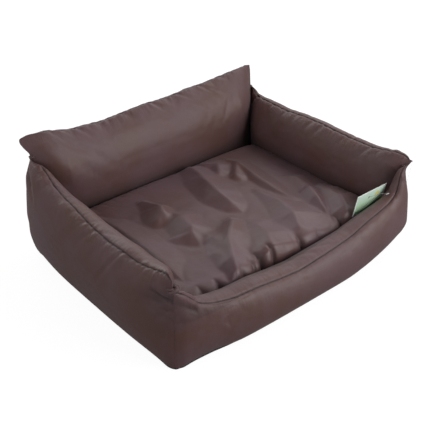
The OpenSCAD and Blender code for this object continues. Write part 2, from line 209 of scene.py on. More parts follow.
def new_material(name):
    """An empty material, and the value that adds nodes to it."""
    made = bpy.data.materials.new(name)
    made.use_nodes = True
    made.node_tree.nodes.clear()
    return made, Value(made.node_tree)


floor_mesh = bpy.data.meshes.new("floor")
corner = FLOOR_SIDE / 2
floor_mesh.from_pydata(
    [(-corner, -corner, 0), (corner, -corner, 0), (corner, corner, 0), (-corner, corner, 0)],
    [],
    [(0, 1, 2, 3)],
)
floor = bpy.data.objects.new("floor", floor_mesh)
scene.collection.objects.link(floor)
floor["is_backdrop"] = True
floor_paint, v = new_material("floor_paint")
matt = v.node("ShaderNodeBsdfDiffuse", inputs={"Color": FLOOR_WHITE})
glow = v.node("ShaderNodeEmission", inputs={"Color": WHITE, "Strength": studio_ray(v) * FLOOR_GLOW})
both = v.node("ShaderNodeAddShader", inputs={0: matt, 1: glow})
v.node("ShaderNodeOutputMaterial", inputs={"Surface": both})
floor_mesh.materials.append(floor_paint)

# Cover cloth: coated woven polyester, dark brown with patches of mauve, and on the cushion more mauve as
# painted sheen.
# All the walls and the cushion are cut from it. Its weave follows each piece's own map in metres.
THREAD_PITCH = 0.0011
WEAVE_DEPTH = 0.0001
CRUMPLE_DEPTH = 0.0016
PUCKER_DEPTH = 0.0024
PUCKER_REACH = 0.040
PUCKERS_ALONG = 105.0
PUCKERS_ACROSS = 22.0
CLOTH_BROWN = (0.104, 0.051, 0.043, 1.0)
CLOTH_MAUVE = (0.120, 0.066, 0.074, 1.0)
# The colour the cloth turns along its seams, and as painted shade in its tucks, dimples and hollows
SEAM_AND_SHADE_BROWN = (0.026, 0.014, 0.013, 1.0)
SHEEN_TINT = (0.80, 0.72, 0.78, 1.0)


def noise(place, scale, detail, roughness=0.5):
    """Soft patches from 0 to 1, with about scale of them to a unit of place."""
    return place.node("ShaderNodeTexNoise", inputs={
        "Vector": place, "Scale": scale, "Detail": detail, "Roughness": roughness})


def parts(vector):
    """The three parts of a vector."""
    split = vector.node("ShaderNodeSeparateXYZ", inputs={"Vector": vector})
    return [Value(vector.tree, output) for output in split.socket.node.outputs]


def laid(factor, under, over):
    """One colour laid over another as far as factor says."""
    return factor.node("ShaderNodeMix", {"data_type": "RGBA"},
                       {"Factor": factor, "A": under, "B": over}, out="Result")


def bumped(height, depth, strength, under=None):
    """The normals of a surface raised by depth where height is 1, on top of the normals under."""
    inputs = {"Height": height, "Distance": depth, "Strength": strength}
    if under is not None:
        inputs["Normal"] = under
    return height.node("ShaderNodeBump", inputs=inputs)


def finish_material(v, inputs):
    """Ends a material in one glossy shader with these sockets."""
    shader = v.node("ShaderNodeBsdfPrincipled", inputs=inputs)
    v.node("ShaderNodeOutputMaterial", inputs={"Surface": shader})


def cover_cloth(name, mauve_tone_and_sheen, roughness, puckers=0.0):
    """The cloth as a material. The second argument is how much of it shows the mauve side of its
    colour, its own tone and on the cushion painted sheen too, and puckers how deep the fine creases
    are that run out from the seam, across its map's v = 0."""
    cloth, v = new_material(name)
    place = v.node("ShaderNodeTexCoord", out="Object")
    patches = noise(place, 9.0, 3.0)
    streaks = noise(place, 60.0, 2.0)
    tone = v.node("ShaderNodeMapRange", inputs={
        "Value": patches + (streaks - 0.5) * 0.25, "From Min": 0.38, "From Max": 0.62,
        "To Min": mauve_tone_and_sheen - 0.45, "To Max": mauve_tone_and_sheen + 0.45})
    # Each piece's own per-point darkening: dark lines along its seams, and painted shade in its tucks,
    # dimples and hollows
    seams_and_painted_shade = v.node("ShaderNodeAttribute", {"attribute_name": "seams_and_painted_shade"}, out="Fac")
    colour = laid(seams_and_painted_shade, laid(tone, CLOTH_BROWN, CLOTH_MAUVE), SEAM_AND_SHADE_BROWN)
    along, across, _ = parts(v.node("ShaderNodeUVMap", {"uv_map": "cloth"}))
    turns = 2 * math.pi / THREAD_PITCH
    weave = v.math("SINE", along * turns) * v.math("SINE", across * turns)
    bump = bumped(weave, WEAVE_DEPTH, 0.35)
    bump = bumped(noise(place, 24.0, 3.0), CRUMPLE_DEPTH, 0.5, bump)
    if puckers:
        stretched = v.node("ShaderNodeCombineXYZ", inputs={
            "X": along * PUCKERS_ALONG, "Y": across * PUCKERS_ACROSS})
        near_seam = v.node("ShaderNodeMapRange", inputs={
            "Value": v.math("ABSOLUTE", across), "From Min": 0.0, "From Max": PUCKER_REACH,
            "To Min": 1.0, "To Max": 0.08})
        bump = bumped(noise(stretched, 1.0, 2.0, 0.55) * near_seam, puckers, 0.8, bump)
    finish_material(v, {
        "Base Color": colour,
        "Roughness": roughness + (patches - 0.5) * 0.2 + seams_and_painted_shade * 0.2,
        "Specular IOR Level": 0.42,
        "Sheen Weight": 0.12,
        "Sheen Roughness": 0.45,
        "Sheen Tint": SHEEN_TINT,
        "Normal": bump,
    })
    return cloth


wall_cloth = cover_cloth("wall_cloth", 0.45, 0.49, PUCKER_DEPTH)
# The cushion's cloth shows more mauve than the walls': painted sheen
cushion_cloth = cover_cloth("cushion_cloth", 0.65, 0.43)

# Walls: four tubes of cover cloth stuffed with polyester fibre, each sewn from an outer and an
# inner panel along a top seam. Their ends are sewn together at the corners of the bed.
BED_W = 0.666
BED_D = 0.530
CORNER_R = 0.028
BASE_T = 0.0012
INNER_BELLY = 0.005
OVERHANG_SPREAD = 0.055
FOOT_SHARE = 1.08
OUTER_FOOT_POWER = 3.3
INNER_FOOT_POWER = 2.2
ROW_STEP = 0.003
END_GAP = 0.0076
END_FADE = 0.055
MITRE_GAP = 0.0002
LINE_EASE = 0.006
SEAM_EASE = 0.03
SINK_WIDTH = 0.004
OVERHANG_CLEAR = 0.09
END_FADE_FOOT = 0.04
FINE_COLUMNS = 260
COLUMN_POWER = 1.4
GATHER_FADE = 0.020
DEPTH_FADE = 0.006
LOOSE_REACH = 0.035
LOOSE_LEAST = 0.12
SMALL_GATHER_PITCH = 0.017
SMALL_GATHER_MARGIN = 0.02
SMALL_GATHER_SHIFT = 0.007
# A small gather's least and most length, depth, half width and slant
SMALL_GATHER_SPANS = [(0.008, 0.026), (0.0003, 0.0014), (0.0025, 0.0045), (-0.7, 0.7)]
OUTER_COLUMNS = 47
INNER_COLUMNS = 45
# How dark the cloth is painted, from 0 to 1: a dark line along the top seam, and painted shade in the
# tucks and inside at the foot and in the corners, where little light gets in
SEAM_SHADE = 0.85
SEAM_LINE = 0.0018
TUCK_SHADE = 0.6
TUCK_SHADE_FOOT = 0.1
FULL_TUCK = 0.009
FOOT_SHADE = 0.7
FOOT_SHADE_TOP = 0.122
FOOT_SHADE_FADE = 0.035
CORNER_SHADE = 0.5
CORNER_SHADE_WIDTH = 0.009
MOST_INNER_SHADE = 0.75
INNER_SHADE_START = 0.03

# Each wall. Along it runs counterclockwise round the bed, seen from above. Its middle bows out by
# belly, its top leans out by lean, and its inner face hangs over by overhang. waist is the share of
# the height at which its outer and its inner face stand out furthest. seam_at is the place of its
# top seam, from 1 at the outer face to -1 at the inner one, sink is the seam's depth, and gathers
# scales the depth of its gathers. crest is its height along it.
WALLS = {
    "back": {
        "length": BED_W,
        "reach": BED_D / 2,
        "thick": 0.056,
        "belly": 0.024,
        "lean": 0.010,
        "seam_at": [(0.0, 0.0), (0.666, 0.0)],
        "sink": 0.002,
        "power": 1.85,
        "gathers": 0.85,
        "waist": (0.42, 0.68),
        "overhang": 0.012,
        "turn": 180,
        "crest": [(0.0, 0.2565), (0.010, 0.2640), (0.03, 0.2690), (0.074, 0.2670), (0.134, 0.2615),
                  (0.168, 0.2585), (0.221, 0.2590), (0.264, 0.2545), (0.308, 0.2545), (0.333, 0.2565),
                  (0.386, 0.2540), (0.458, 0.2500), (0.499, 0.2540), (0.539, 0.2565), (0.594, 0.2725),
                  (0.622, 0.2745), (0.643, 0.2730), (0.652, 0.2710), (0.658, 0.2680), (0.666, 0.2580)],
    },
    "right": {
        "length": BED_D,
        "reach": BED_W / 2,
        "thick": 0.056,
        "belly": 0.018,
        "lean": 0.0,
        "seam_at": [(0.0, -0.15), (0.53, -0.15)],
        "sink": 0.0035,
        "power": 2.3,
        "gathers": 0.70,
        "waist": (0.42, 0.62),
        "overhang": 0.008,
        "turn": 90,
        "crest": [(0.0, 0.1995), (0.018, 0.2035), (0.03, 0.2095), (0.05, 0.2135), (0.08, 0.2075),
                  (0.11, 0.2025), (0.17, 0.2005), (0.22, 0.2015), (0.26, 0.2035), (0.32, 0.2015),
                  (0.38, 0.1955), (0.435, 0.1975), (0.47, 0.1975), (0.494, 0.1985), (0.51, 0.2080),
                  (0.53, 0.2140)],
    },
    "front": {
        "length": BED_W,
        "reach": BED_D / 2,
        "thick": 0.050,
        "belly": 0.024,
        "lean": 0.0,
        "seam_at": [(0.0, 0.3), (0.08, 0.42), (0.20, 0.50), (0.33, 0.50), (0.43, 0.42),
                    (0.52, 0.32), (0.60, 0.30), (0.666, 0.3)],
        "sink": 0.0035,
        "power": 2.15,
        "gathers": 0.45,
        "waist": (0.38, 0.60),
        "overhang": 0.000,
        "turn": 0,
        "crest": [(0.0, 0.178), (0.03, 0.162), (0.045, 0.147), (0.067, 0.128), (0.095, 0.119),
                  (0.14, 0.110), (0.20, 0.108), (0.26, 0.099), (0.31, 0.094), (0.37, 0.097),
                  (0.41, 0.099), (0.46, 0.103), (0.51, 0.115), (0.55, 0.122), (0.585, 0.128),
                  (0.61, 0.138), (0.622, 0.152), (0.634, 0.178), (0.645, 0.194), (0.666, 0.200)],
    },
    "left": {
        "length": BED_D,
        "reach": BED_W / 2,
        "thick": 0.056,
        "belly": 0.018,
        "lean": 0.0,
        "seam_at": [(0.0, -0.3), (0.06, -0.2), (0.12, -0.05), (0.19, 0.12), (0.27, 0.30),
                    (0.36, 0.40), (0.42, 0.36), (0.53, 0.32)],
        "sink": 0.0035,
        "power": 2.4,
        "gathers": 0.60,
        "waist": (0.50, 0.62),
        "overhang": 0.003,
        "turn": 270,
        "crest": [(0.0, 0.225), (0.04, 0.222), (0.06, 0.217), (0.09, 0.207), (0.125, 0.198),
                  (0.15, 0.195), (0.19, 0.194), (0.26, 0.188), (0.33, 0.188), (0.38, 0.192),
                  (0.42, 0.190), (0.452, 0.194), (0.47, 0.198), (0.50, 0.206), (0.512, 0.208),
                  (0.520, 0.200), (0.53, 0.182)],
    },
}

# Gathers along the top seams: place along the wall, panel (-1 outer, 1 inner), distance from the
# seam where it is deepest, length, depth, half width and slant (shift along the wall per length)
GATHERS = {
    "back": [(0.189, 1, 0, 0.050, 0.0030, 0.0045, -1.0), (0.255, 1, 0, 0.045, 0.0026, 0.004, -1.1),
             (0.328, 1, 0, 0.050, 0.0030, 0.005, -0.9), (0.287, 1, 0, 0.022, 0.0016, 0.004, -0.6),
             (0.402, 1, 0, 0.035, 0.0018, 0.006, -0.7), (0.473, 1, 0, 0.030, 0.0016, 0.006, -0.5),
             (0.526, 1, 0, 0.040, 0.0024, 0.004, -0.9), (0.595, 1, 0.01, 0.05, 0.003, 0.007, -1.2),
             (0.556, 1, 0, 0.030, 0.0018, 0.005, -0.7), (0.12, 1, 0, 0.035, 0.0018, 0.006, -0.9)],
    "left": [(0.250, -1, 0, 0.036, 0.0022, 0.0035, -0.75), (0.285, -1, 0, 0.050, 0.003, 0.004, -0.78),
             (0.379, -1, 0, 0.085, 0.0034, 0.0035, -0.68), (0.330, -1, 0, 0.045, 0.002, 0.004, -0.7),
             (0.405, -1, 0, 0.034, 0.0024, 0.004, -0.6), (0.436, -1, 0, 0.020, 0.0022, 0.003, -0.3),
             (0.449, -1, 0, 0.030, 0.0020, 0.0035, -0.5), (0.470, -1, 0, 0.014, 0.0022, 0.003, -0.1),
             (0.487, -1, 0, 0.022, 0.0024, 0.0035, 0.1), (0.500, -1, 0, 0.010, 0.0016, 0.003, 0.3),
             (0.210, -1, 0, 0.030, 0.0018, 0.005, -0.6), (0.160, -1, 0, 0.030, 0.002, 0.005, -0.6),
             (0.300, 1, 0.01, 0.020, 0.0016, 0.005, 1.2), (0.420, 1, 0, 0.020, 0.0014, 0.004, 1.0),
             (0.110, -1, 0, 0.045, 0.003, 0.006, -0.6), (0.060, -1, 0.0, 0.04, 0.003, 0.006, 0.2)],
    "front": [(0.462, -1, 0.008, 0.024, 0.0022, 0.004, 0.7),
              (0.430, -1, 0.008, 0.028, 0.0024, 0.004, 0.6),
              (0.376, -1, 0.006, 0.022, 0.0024, 0.004, 0.6),
              (0.364, -1, 0.008, 0.018, 0.002, 0.0035, 0.6),
              (0.290, -1, 0.008, 0.022, 0.0024, 0.004, 0.7), (0.274, -1, 0.004, 0.015, 0.002, 0.0035, 0.6),
              (0.242, -1, 0.006, 0.020, 0.0022, 0.004, 0.5), (0.140, -1, 0.006, 0.028, 0.0024, 0.005, 0.4),
              (0.323, -1, 0.006, 0.020, 0.0018, 0.004, 0.5), (0.196, -1, 0.006, 0.020, 0.0018, 0.004, 0.4),
              (0.500, -1, 0.004, 0.030, 0.0022, 0.005, 0.6), (0.540, -1, 0.004, 0.035, 0.0022, 0.005, 0.5),
              (0.425, 1, 0.020, 0.018, 0.0026, 0.004, -1.6), (0.385, 1, 0.020, 0.016, 0.0026, 0.004, -1.4),
              (0.315, 1, 0.022, 0.014, 0.0026, 0.004, -1.2), (0.268, 1, 0.022, 0.012, 0.0022, 0.004, -1.0),
              (0.055, 1, 0.0, 0.03, 0.003, 0.004, 0.9), (0.075, 1, 0.0, 0.028, 0.002, 0.004, 0.9)],
    "right": [(0.372, 1, 0, 0.038, 0.0026, 0.0035, 0.35), (0.338, 1, 0.010, 0.030, 0.002, 0.004, 0.1),
              (0.285, 1, 0, 0.034, 0.0026, 0.0035, 0.3), (0.250, 1, 0, 0.032, 0.0026, 0.0035, 0.45),
              (0.108, 1, 0, 0.030, 0.0030, 0.004, 0.6), (0.481, 1, 0, 0.045, 0.0045, 0.004, 0.6),
              (0.420, 1, 0, 0.030, 0.0018, 0.005, 0.4), (0.180, 1, 0, 0.028, 0.0016, 0.005, 0.5)],
}

# Tucks in the outer panels where a corner is pulled in: line from (along, height) to (along,
# height), depth and half width
TUCKS = {
    "back": [((0.02, 0.19), (0.05, 0.175), 0.003, 0.005), ((0.61, 0.19), (0.646, 0.17), 0.003, 0.005)],
    "left": [((0.480, 0.160), (0.522, 0.148), 0.0075, 0.0060),
             ((0.500, 0.128), (0.522, 0.126), 0.0016, 0.003),
             ((0.498, 0.112), (0.522, 0.109), 0.0018, 0.003), ((0.505, 0.07), (0.522, 0.068), 0.001, 0.003),
             ((0.01, 0.205), (0.05, 0.185), 0.004, 0.006), ((0.46, 0.143), (0.50, 0.140), 0.003, 0.012)],
    "front": [((0.012, 0.140), (0.05, 0.118), 0.0045, 0.009), ((0.04, 0.090), (0.115, 0.070), 0.0085, 0.026),
              ((0.02, 0.0), (0.09, 0.0), 0.006, 0.036), ((0.50, 0.0), (0.62, 0.0), 0.0075, 0.030),
              ((0.62, 0.16), (0.66, 0.165), 0.003, 0.006)],
    "right": [((0.01, 0.165), (0.05, 0.15), 0.003, 0.006), ((0.48, 0.165), (0.52, 0.17), 0.003, 0.006)],
}

# How far each corner seam stands in from the bed's own corner, both ways, at each height
CORNERS = {
    "front_left": [(0.0, 0.0), (0.03, 0.002), (0.08, 0.007), (0.14, 0.009), (0.18, 0.006)],
    "front_right": [(0.0, 0.024), (0.012, 0.017), (0.03, 0.008), (0.055, 0.002), (0.125, 0.006),
                    (0.165, 0.012), (0.185, 0.014), (0.200, 0.004), (0.21, 0.001)],
    "back_right": [(0.0, 0.012), (0.03, 0.004), (0.1, 0.003), (0.2, 0.006), (0.222, 0.009),
                   (0.25, 0.007), (0.262, 0.006), (0.27, 0.008)],
    "back_left": [(0.0, 0.007), (0.02, 0.004), (0.05, 0.001), (0.1, 0.001), (0.19, 0.008),
                  (0.222, 0.017), (0.234, 0.019), (0.256, 0.004), (0.27, 0.006)],
}
ENDS = {
    "front": ("front_left", "front_right"),
    "right": ("front_right", "back_right"),
    "back": ("back_right", "back_left"),
    "left": ("back_left", "front_left"),
}


def leaned(corner, z):
    """How far the back wall leans out at a corner at the height z: a square law up to its top."""
    if not corner.startswith("back"):
        return np.zeros(np.shape(z))
    crest = WALLS["back"]["crest"]
    top = crest[0 if corner == "back_right" else -1][1]
    return WALLS["back"]["lean"] * (np.asarray(z) / top) ** 2


def eased(at, points, width):
    """A line through points, read at the places in at, with its bends rounded over width."""
    places, heights = np.array(points).T
    offsets = np.linspace(-1.5, 1.5, 13) * width
    weights = np.exp(-((offsets / width) ** 2))
    read = np.interp(at[..., None] + offsets, places, heights)
    return (read * weights).sum(-1) / weights.sum()


def soft_least(a, b, power):
    """The smaller of two positive lengths, with a rounded change from one to the other."""
    return (a**-power + b**-power) ** (-1 / power)


def signed_power(value, power):
    """The power of a value's size, with the value's sign."""
    return np.sign(value) * np.abs(value) ** power


def section_points(wall, u, angle):
    """A wall's section at u: half of a rounded rectangle above the widest height and another
    below, from the outer face at 180 degrees over the top at 90 to the inner face at 0."""
    along = 2 * u / wall["length"] - 1
    from_end = np.minimum(u, wall["length"] - u)
    near = np.clip(1 - from_end / CORNER_R, 0, 1)
    face_out = CORNER_R * (1 - np.sqrt(1 - near**2)) - wall["belly"] * (1 - along**4)
    full = wall["thick"] + INNER_BELLY * (1 - along**2)
    face_in = soft_least(from_end - MITRE_GAP, full, 4.0)
    middle = (face_in + face_out) / 2
    half = (face_in - face_out) / 2
    top = eased(u, wall["crest"], LINE_EASE)
    sine = np.sin(angle)
    inward = (1 + np.cos(angle)) / 2
    outer_share, inner_share = wall["waist"]
    waist_share = outer_share + (inner_share - outer_share) * inward
    waist = BASE_T + waist_share * (top - BASE_T)
    upper = sine >= 0
    foot_power = OUTER_FOOT_POWER + (INNER_FOOT_POWER - OUTER_FOOT_POWER) * inward
    power = np.where(upper, wall["power"], foot_power)
    rise = (top - waist) * np.abs(sine) ** (2 / power)
    drop = (waist - BASE_T) * FOOT_SHARE * np.abs(sine) ** (2 / power)
    z = np.where(upper, waist + rise, np.maximum(BASE_T, waist - drop))
    y = middle + half * signed_power(np.cos(angle), 2 / power) - wall["lean"] * (z / top) ** 2
    off = (z - inner_share * top) / OVERHANG_SPREAD
    clear = np.clip(from_end / OVERHANG_CLEAR, 0, 1) ** 2
    y = y + wall["overhang"] * clear * inward**2 * np.exp(-(off**2))
    return np.stack([np.broadcast_to(u, z.shape), y, z], -1)


def spaced_columns(points, share):
    """The same lines of points, respaced so that each has a point at every share of its length.
    Returns them with the lengths of the lines."""
    steps = np.linalg.norm(np.diff(points, axis=1), axis=2)
    run = np.concatenate([np.zeros((len(points), 1)), np.cumsum(steps, 1)], 1)
    rows = [
        [np.interp(share * line_run[-1], line_run, line[:, k]) for k in range(3)]
        for line_run, line in zip(run, points)
    ]
    return np.array(rows).transpose(0, 2, 1), run[:, -1]


def drawn_in(side, points):
    """A wall's points with its two ends moved in along the corners of the bed, and those of a
    side wall back to where the back wall leans. Both fade out by a bell along the wall."""
    length = WALLS[side]["length"]
    u, y, z = np.moveaxis(points, -1, 0)
    for corner, from_end, way in zip(ENDS[side], (u, length - u), (1, -1)):
        reach = END_FADE * (1 + np.exp(-((z / END_FADE_FOOT) ** 2)))
        fade = np.exp(-(((from_end - END_GAP) / reach) ** 2))
        shift = eased(z, CORNERS[corner], LINE_EASE)
        back = leaned(corner, z) if side in ("left", "right") else 0
        u = u + way * (shift - back) * fade
        y = y + shift * fade
    return np.stack([u, y, z], -1)


def wall_grid(wall):
    """A wall's surface: one row for each place along it, and columns from the outer foot up to
    the top seam and down to the inner foot, closer together near the seam. Returns the points
    and each one's distance along the cloth from the seam, which is negative on the outer panel."""
    length = wall["length"]
    rows = 2 * int(length / ROW_STEP / 2) + 1
    share = np.linspace(-1, 1, rows)
    u = length / 2 + (length / 2 - END_GAP) * (1.25 * share - 0.25 * share**3)
    u = u[:, None]
    seam_share = eased(u, wall["seam_at"], SEAM_EASE)
    seam_angle = np.arccos(-signed_power(seam_share, wall["power"] / 2))
    share = np.linspace(0, 1, FINE_COLUMNS)[None]
    outer_foot = math.pi + math.asin((1 / FOOT_SHARE) ** (OUTER_FOOT_POWER / 2))
    inner_foot = -math.asin((1 / FOOT_SHARE) ** (INNER_FOOT_POWER / 2))
    outer = section_points(wall, u, outer_foot + (seam_angle - outer_foot) * share)
    inner = section_points(wall, u, seam_angle + (inner_foot - seam_angle) * share)
    outer_share = 1 - np.linspace(1, 0, OUTER_COLUMNS) ** COLUMN_POWER
    inner_share = np.linspace(0, 1, INNER_COLUMNS) ** COLUMN_POWER
    outer, outer_run = spaced_columns(outer, outer_share)
    inner, inner_run = spaced_columns(inner, inner_share)
    points = np.concatenate([outer, inner[:, 1:]], 1)
    from_seam = np.concatenate(
        [(outer_share - 1) * outer_run[:, None], inner_share[1:] * inner_run[:, None]], 1
    )
    return points, from_seam


def outward(points):
    """Unit normals of a grid of points: the cross product of its row and column directions."""
    normal = np.cross(np.gradient(points, axis=0), np.gradient(points, axis=1))
    return normal / np.maximum(np.linalg.norm(normal, axis=-1, keepdims=True), 1e-12)


def gathered(side, u, from_seam):
    """How far the cloth stands in from the plain wall at the gathers of its seam: each is a
    narrow valley across the seam with a low shoulder on both sides, that fades out along its
    length. Between the listed ones come small ones at seeded places."""
    length = WALLS[side]["length"]
    chance = np.random.default_rng(list(WALLS).index(side) + 11)
    small = []
    for panel in (-1, 1):
        count = int(length / SMALL_GATHER_PITCH)
        places = np.linspace(SMALL_GATHER_MARGIN, length - SMALL_GATHER_MARGIN, count)
        places = places + chance.uniform(-SMALL_GATHER_SHIFT, SMALL_GATHER_SHIFT, count)
        small += [
            (place, panel, 0, *(chance.uniform(*span) for span in SMALL_GATHER_SPANS))
            for place in places
        ]
    depth = np.zeros(from_seam.shape)
    for place, panel, start, run, deep, half, slant in GATHERS[side] + small:
        t = from_seam * panel
        fade = np.where(t > start, np.exp(-(((t - start) / run) ** 2)),
                        np.exp(-(((t - start) / (0.4 * run + 0.003)) ** 2)))
        fade = fade * (t > -0.0005)
        out = np.maximum(t, 0)
        aside = np.abs(u - place - slant * out) / (half * (1 + 0.6 * out / run))
        depth += deep * fade * (np.exp(-aside**1.5) - 0.35 * np.exp(-(((aside - 2.4) / 1.1) ** 2)))
    return depth * WALLS[side]["gathers"]


def tucked(side, u, z, from_seam):
    """How far the outer panel stands in at its tucks: a valley about each line, whose depth
    falls off with the distance from the line."""
    depth = np.zeros(u.shape)
    for (u_a, z_a), (u_b, z_b), deep, half in TUCKS[side]:
        along = np.array([u_b - u_a, z_b - z_a])
        share = ((u - u_a) * along[0] + (z - z_a) * along[1]) / (along @ along)
        share = np.clip(share, 0, 1)
        off = np.hypot(u - u_a - share * along[0], z - z_a - share * along[1])
        depth += deep * np.exp(-((off / half) ** 1.5)) * (0.4 + 0.6 * np.sin(share * math.pi / 2))
    return depth * (from_seam < -0.004)


def in_place(wall, points):
    """Turns a wall's own points, (along, inwards, up), to its side of the bed."""
    turn = math.radians(wall["turn"])
    x = points[..., 0] - wall["length"] / 2
    y = points[..., 1] - wall["reach"]
    return np.stack(
        [
            x * math.cos(turn) - y * math.sin(turn),
            x * math.sin(turn) + y * math.cos(turn),
            points[..., 2],
        ],
        -1,
    )


def grid_faces(rows, columns):
    """Quads of a grid of points numbered row by row."""
    at = np.arange(rows * columns).reshape(rows, columns)
    return np.stack([at[:-1, :-1], at[1:, :-1], at[1:, 1:], at[:-1, 1:]], -1).reshape(-1, 4)


def new_piece(name, points, faces, material, attributes=None, extra=()):
    """A mesh object from arrays. attributes holds one number or pair of numbers a vertex; a pair
    named cloth becomes the map that the weave follows."""
    mesh = bpy.data.meshes.new(name)
    mesh.from_pydata(points.reshape(-1, 3).tolist(), [], faces.tolist() + list(extra))
    for key, values in (attributes or {}).items():
        values = np.asarray(values, np.float32)
        if key == "cloth":
            corners = np.empty(len(mesh.loops), np.int32)
            mesh.loops.foreach_get("vertex_index", corners)
            layer = mesh.uv_layers.new(name="cloth")
            layer.data.foreach_set("uv", values.reshape(-1, 2)[corners].ravel())
        else:
            layer = mesh.attributes.new(key, "FLOAT", "POINT")
            layer.data.foreach_set("value", values.ravel())
    mesh.materials.append(material)
    mesh.shade_smooth()
    piece = bpy.data.objects.new(name, mesh)
    scene.collection.objects.link(piece)
    return piece


def smoothing(count, width):
    """A square matrix that blurs count values in a row by a bell of that width in steps."""
    at = np.arange(count)
    bell = np.exp(-(((at[:, None] - at[None]) / width) ** 2))
    return bell / bell.sum(1, keepdims=True)


# What all the cloth simulations have in common
CLOTH_SETTINGS = {
    "quality": 5,
    "mass": 0.12,
    "tension_stiffness": 12,
    "compression_stiffness": 12,
    "shear_stiffness": 4,
    "air_damping": 2,
    "vertex_group_mass": "held",
    "vertex_group_shrink": "loose",
    "shrink_min": 0.0,
    "use_pressure": True,
}


def swollen(name, points, faces, held, loose, slack, pressure, stiffness, frames=20):
    """Where the cloth of a mesh comes to rest when it is blown up from inside. held is 1 at the
    points that are sewn down, and slack is how much longer than the shape the cloth is cut where
    loose is 1."""
    scratch = new_piece(name, points, faces, wall_cloth)
    for group, levels in (("held", held), ("loose", loose)):
        made = scratch.vertex_groups.new(name=group)
        levels = np.round(levels.ravel(), 1)
        for level in np.unique(levels[levels > 0]):
            made.add(np.flatnonzero(levels == level).tolist(), float(level), "REPLACE")
    cloth = scratch.modifiers.new("cloth", "CLOTH")
    for key, value in CLOTH_SETTINGS.items():
        setattr(cloth.settings, key, value)
    cloth.settings.bending_stiffness = stiffness
    cloth.settings.shrink_max = -slack
    cloth.settings.uniform_pressure_force = pressure
    cloth.settings.effector_weights.gravity = 0
    cloth.collision_settings.use_self_collision = False
    cloth.collision_settings.use_collision = False
    for number in range(1, frames + 1):
        scene.frame_set(number)
    state = scratch.evaluated_get(bpy.context.evaluated_depsgraph_get())
    rested = np.empty(len(state.data.vertices) * 3)
    state.data.vertices.foreach_get("co", rested)
    mesh = scratch.data
    bpy.data.objects.remove(scratch)
    bpy.data.meshes.remove(mesh)
    scene.frame_set(1)
    return rested.reshape(points.shape)


def wrinkled(name, points, faces, held, loose, slack, pressure, stiffness, cap, width):
    """The points moved by the wrinkles of the swollen cloth, without its broad swelling."""
    moved = swollen(name, points, faces, held, loose, slack, pressure, stiffness) - points
    rows, columns = points.shape[:2]
    broad = np.einsum("ij,jkc->ikc", smoothing(rows, width), moved)
    broad = np.einsum("ij,kjc->kic", smoothing(columns, width), broad)
    fine = moved - broad
    length = np.linalg.norm(fine, axis=-1, keepdims=True)
    fine = fine * np.minimum(1.0, cap / np.maximum(length, 1e-9))
    return points + fine * (1 - held[..., None])


def filled_in(count):
    """A matrix that turns every other value of a row of count back into the whole row."""
    coarse = np.arange((count + 1) // 2)
    fill = np.zeros((count, len(coarse)))
    fill[2 * coarse, coarse] = 1
    fill[2 * coarse[:-1] + 1, coarse[:-1]] = 0.5
    fill[2 * coarse[:-1] + 1, coarse[1:]] = 0.5
    return fill


def creased(name, points, held, loose, closing=None, **cloth):
    """The points moved by the creases that a simulation of every other row and column gives."""
    coarse = points[::2, ::2]
    rows, columns = coarse.shape[:2]
    faces = grid_faces(rows, columns)
    if closing is not None:
        faces = np.concatenate([faces, closing(rows, columns)])
    moved = wrinkled(name, coarse, faces, held[::2, ::2], loose[::2, ::2], **cloth) - coarse
    moved = np.einsum("ij,jkc->ikc", filled_in(points.shape[0]), moved)
    return points + np.einsum("ij,kjc->kic", filled_in(points.shape[1]), moved)


def tube_ends(rows, columns):
    """The faces that close a wall's grid: its underside and the caps of its two ends."""
    at = np.arange(rows * columns).reshape(rows, columns)
    half = columns // 2
    underside = np.stack([at[:-1, 0], at[:-1, -1], at[1:, -1], at[1:, 0]], -1)
    caps = [
        np.stack([line[:half], line[1 : half + 1], line[::-1][1 : half + 1], line[::-1][:half]], -1)
        for line in (at[0], at[-1][::-1])
    ]
    return np.concatenate([underside, *caps])


def wall_shade(points, from_seam, from_end, tucks):
    """How dark the cloth is painted at each point: the darkest of its seam line and of the painted shade in
    its tucks, at its foot and in its corners.
    """
    z = points[..., 2]
    seam = SEAM_SHADE * np.exp(-((from_seam / SEAM_LINE) ** 2))
    tuck = np.clip(tucks / FULL_TUCK, 0, TUCK_SHADE) * (z > TUCK_SHADE_FOOT)
    to_mitre = np.maximum(from_end - points[..., 1], 0)
    inner = (FOOT_SHADE * np.clip((FOOT_SHADE_TOP - z) / FOOT_SHADE_FADE, 0, 1)
             + CORNER_SHADE * np.exp(-to_mitre / CORNER_SHADE_WIDTH))
    inner = np.clip(inner, 0, MOST_INNER_SHADE) * (from_seam > INNER_SHADE_START)
    return np.maximum(np.maximum(seam, tuck), inner)


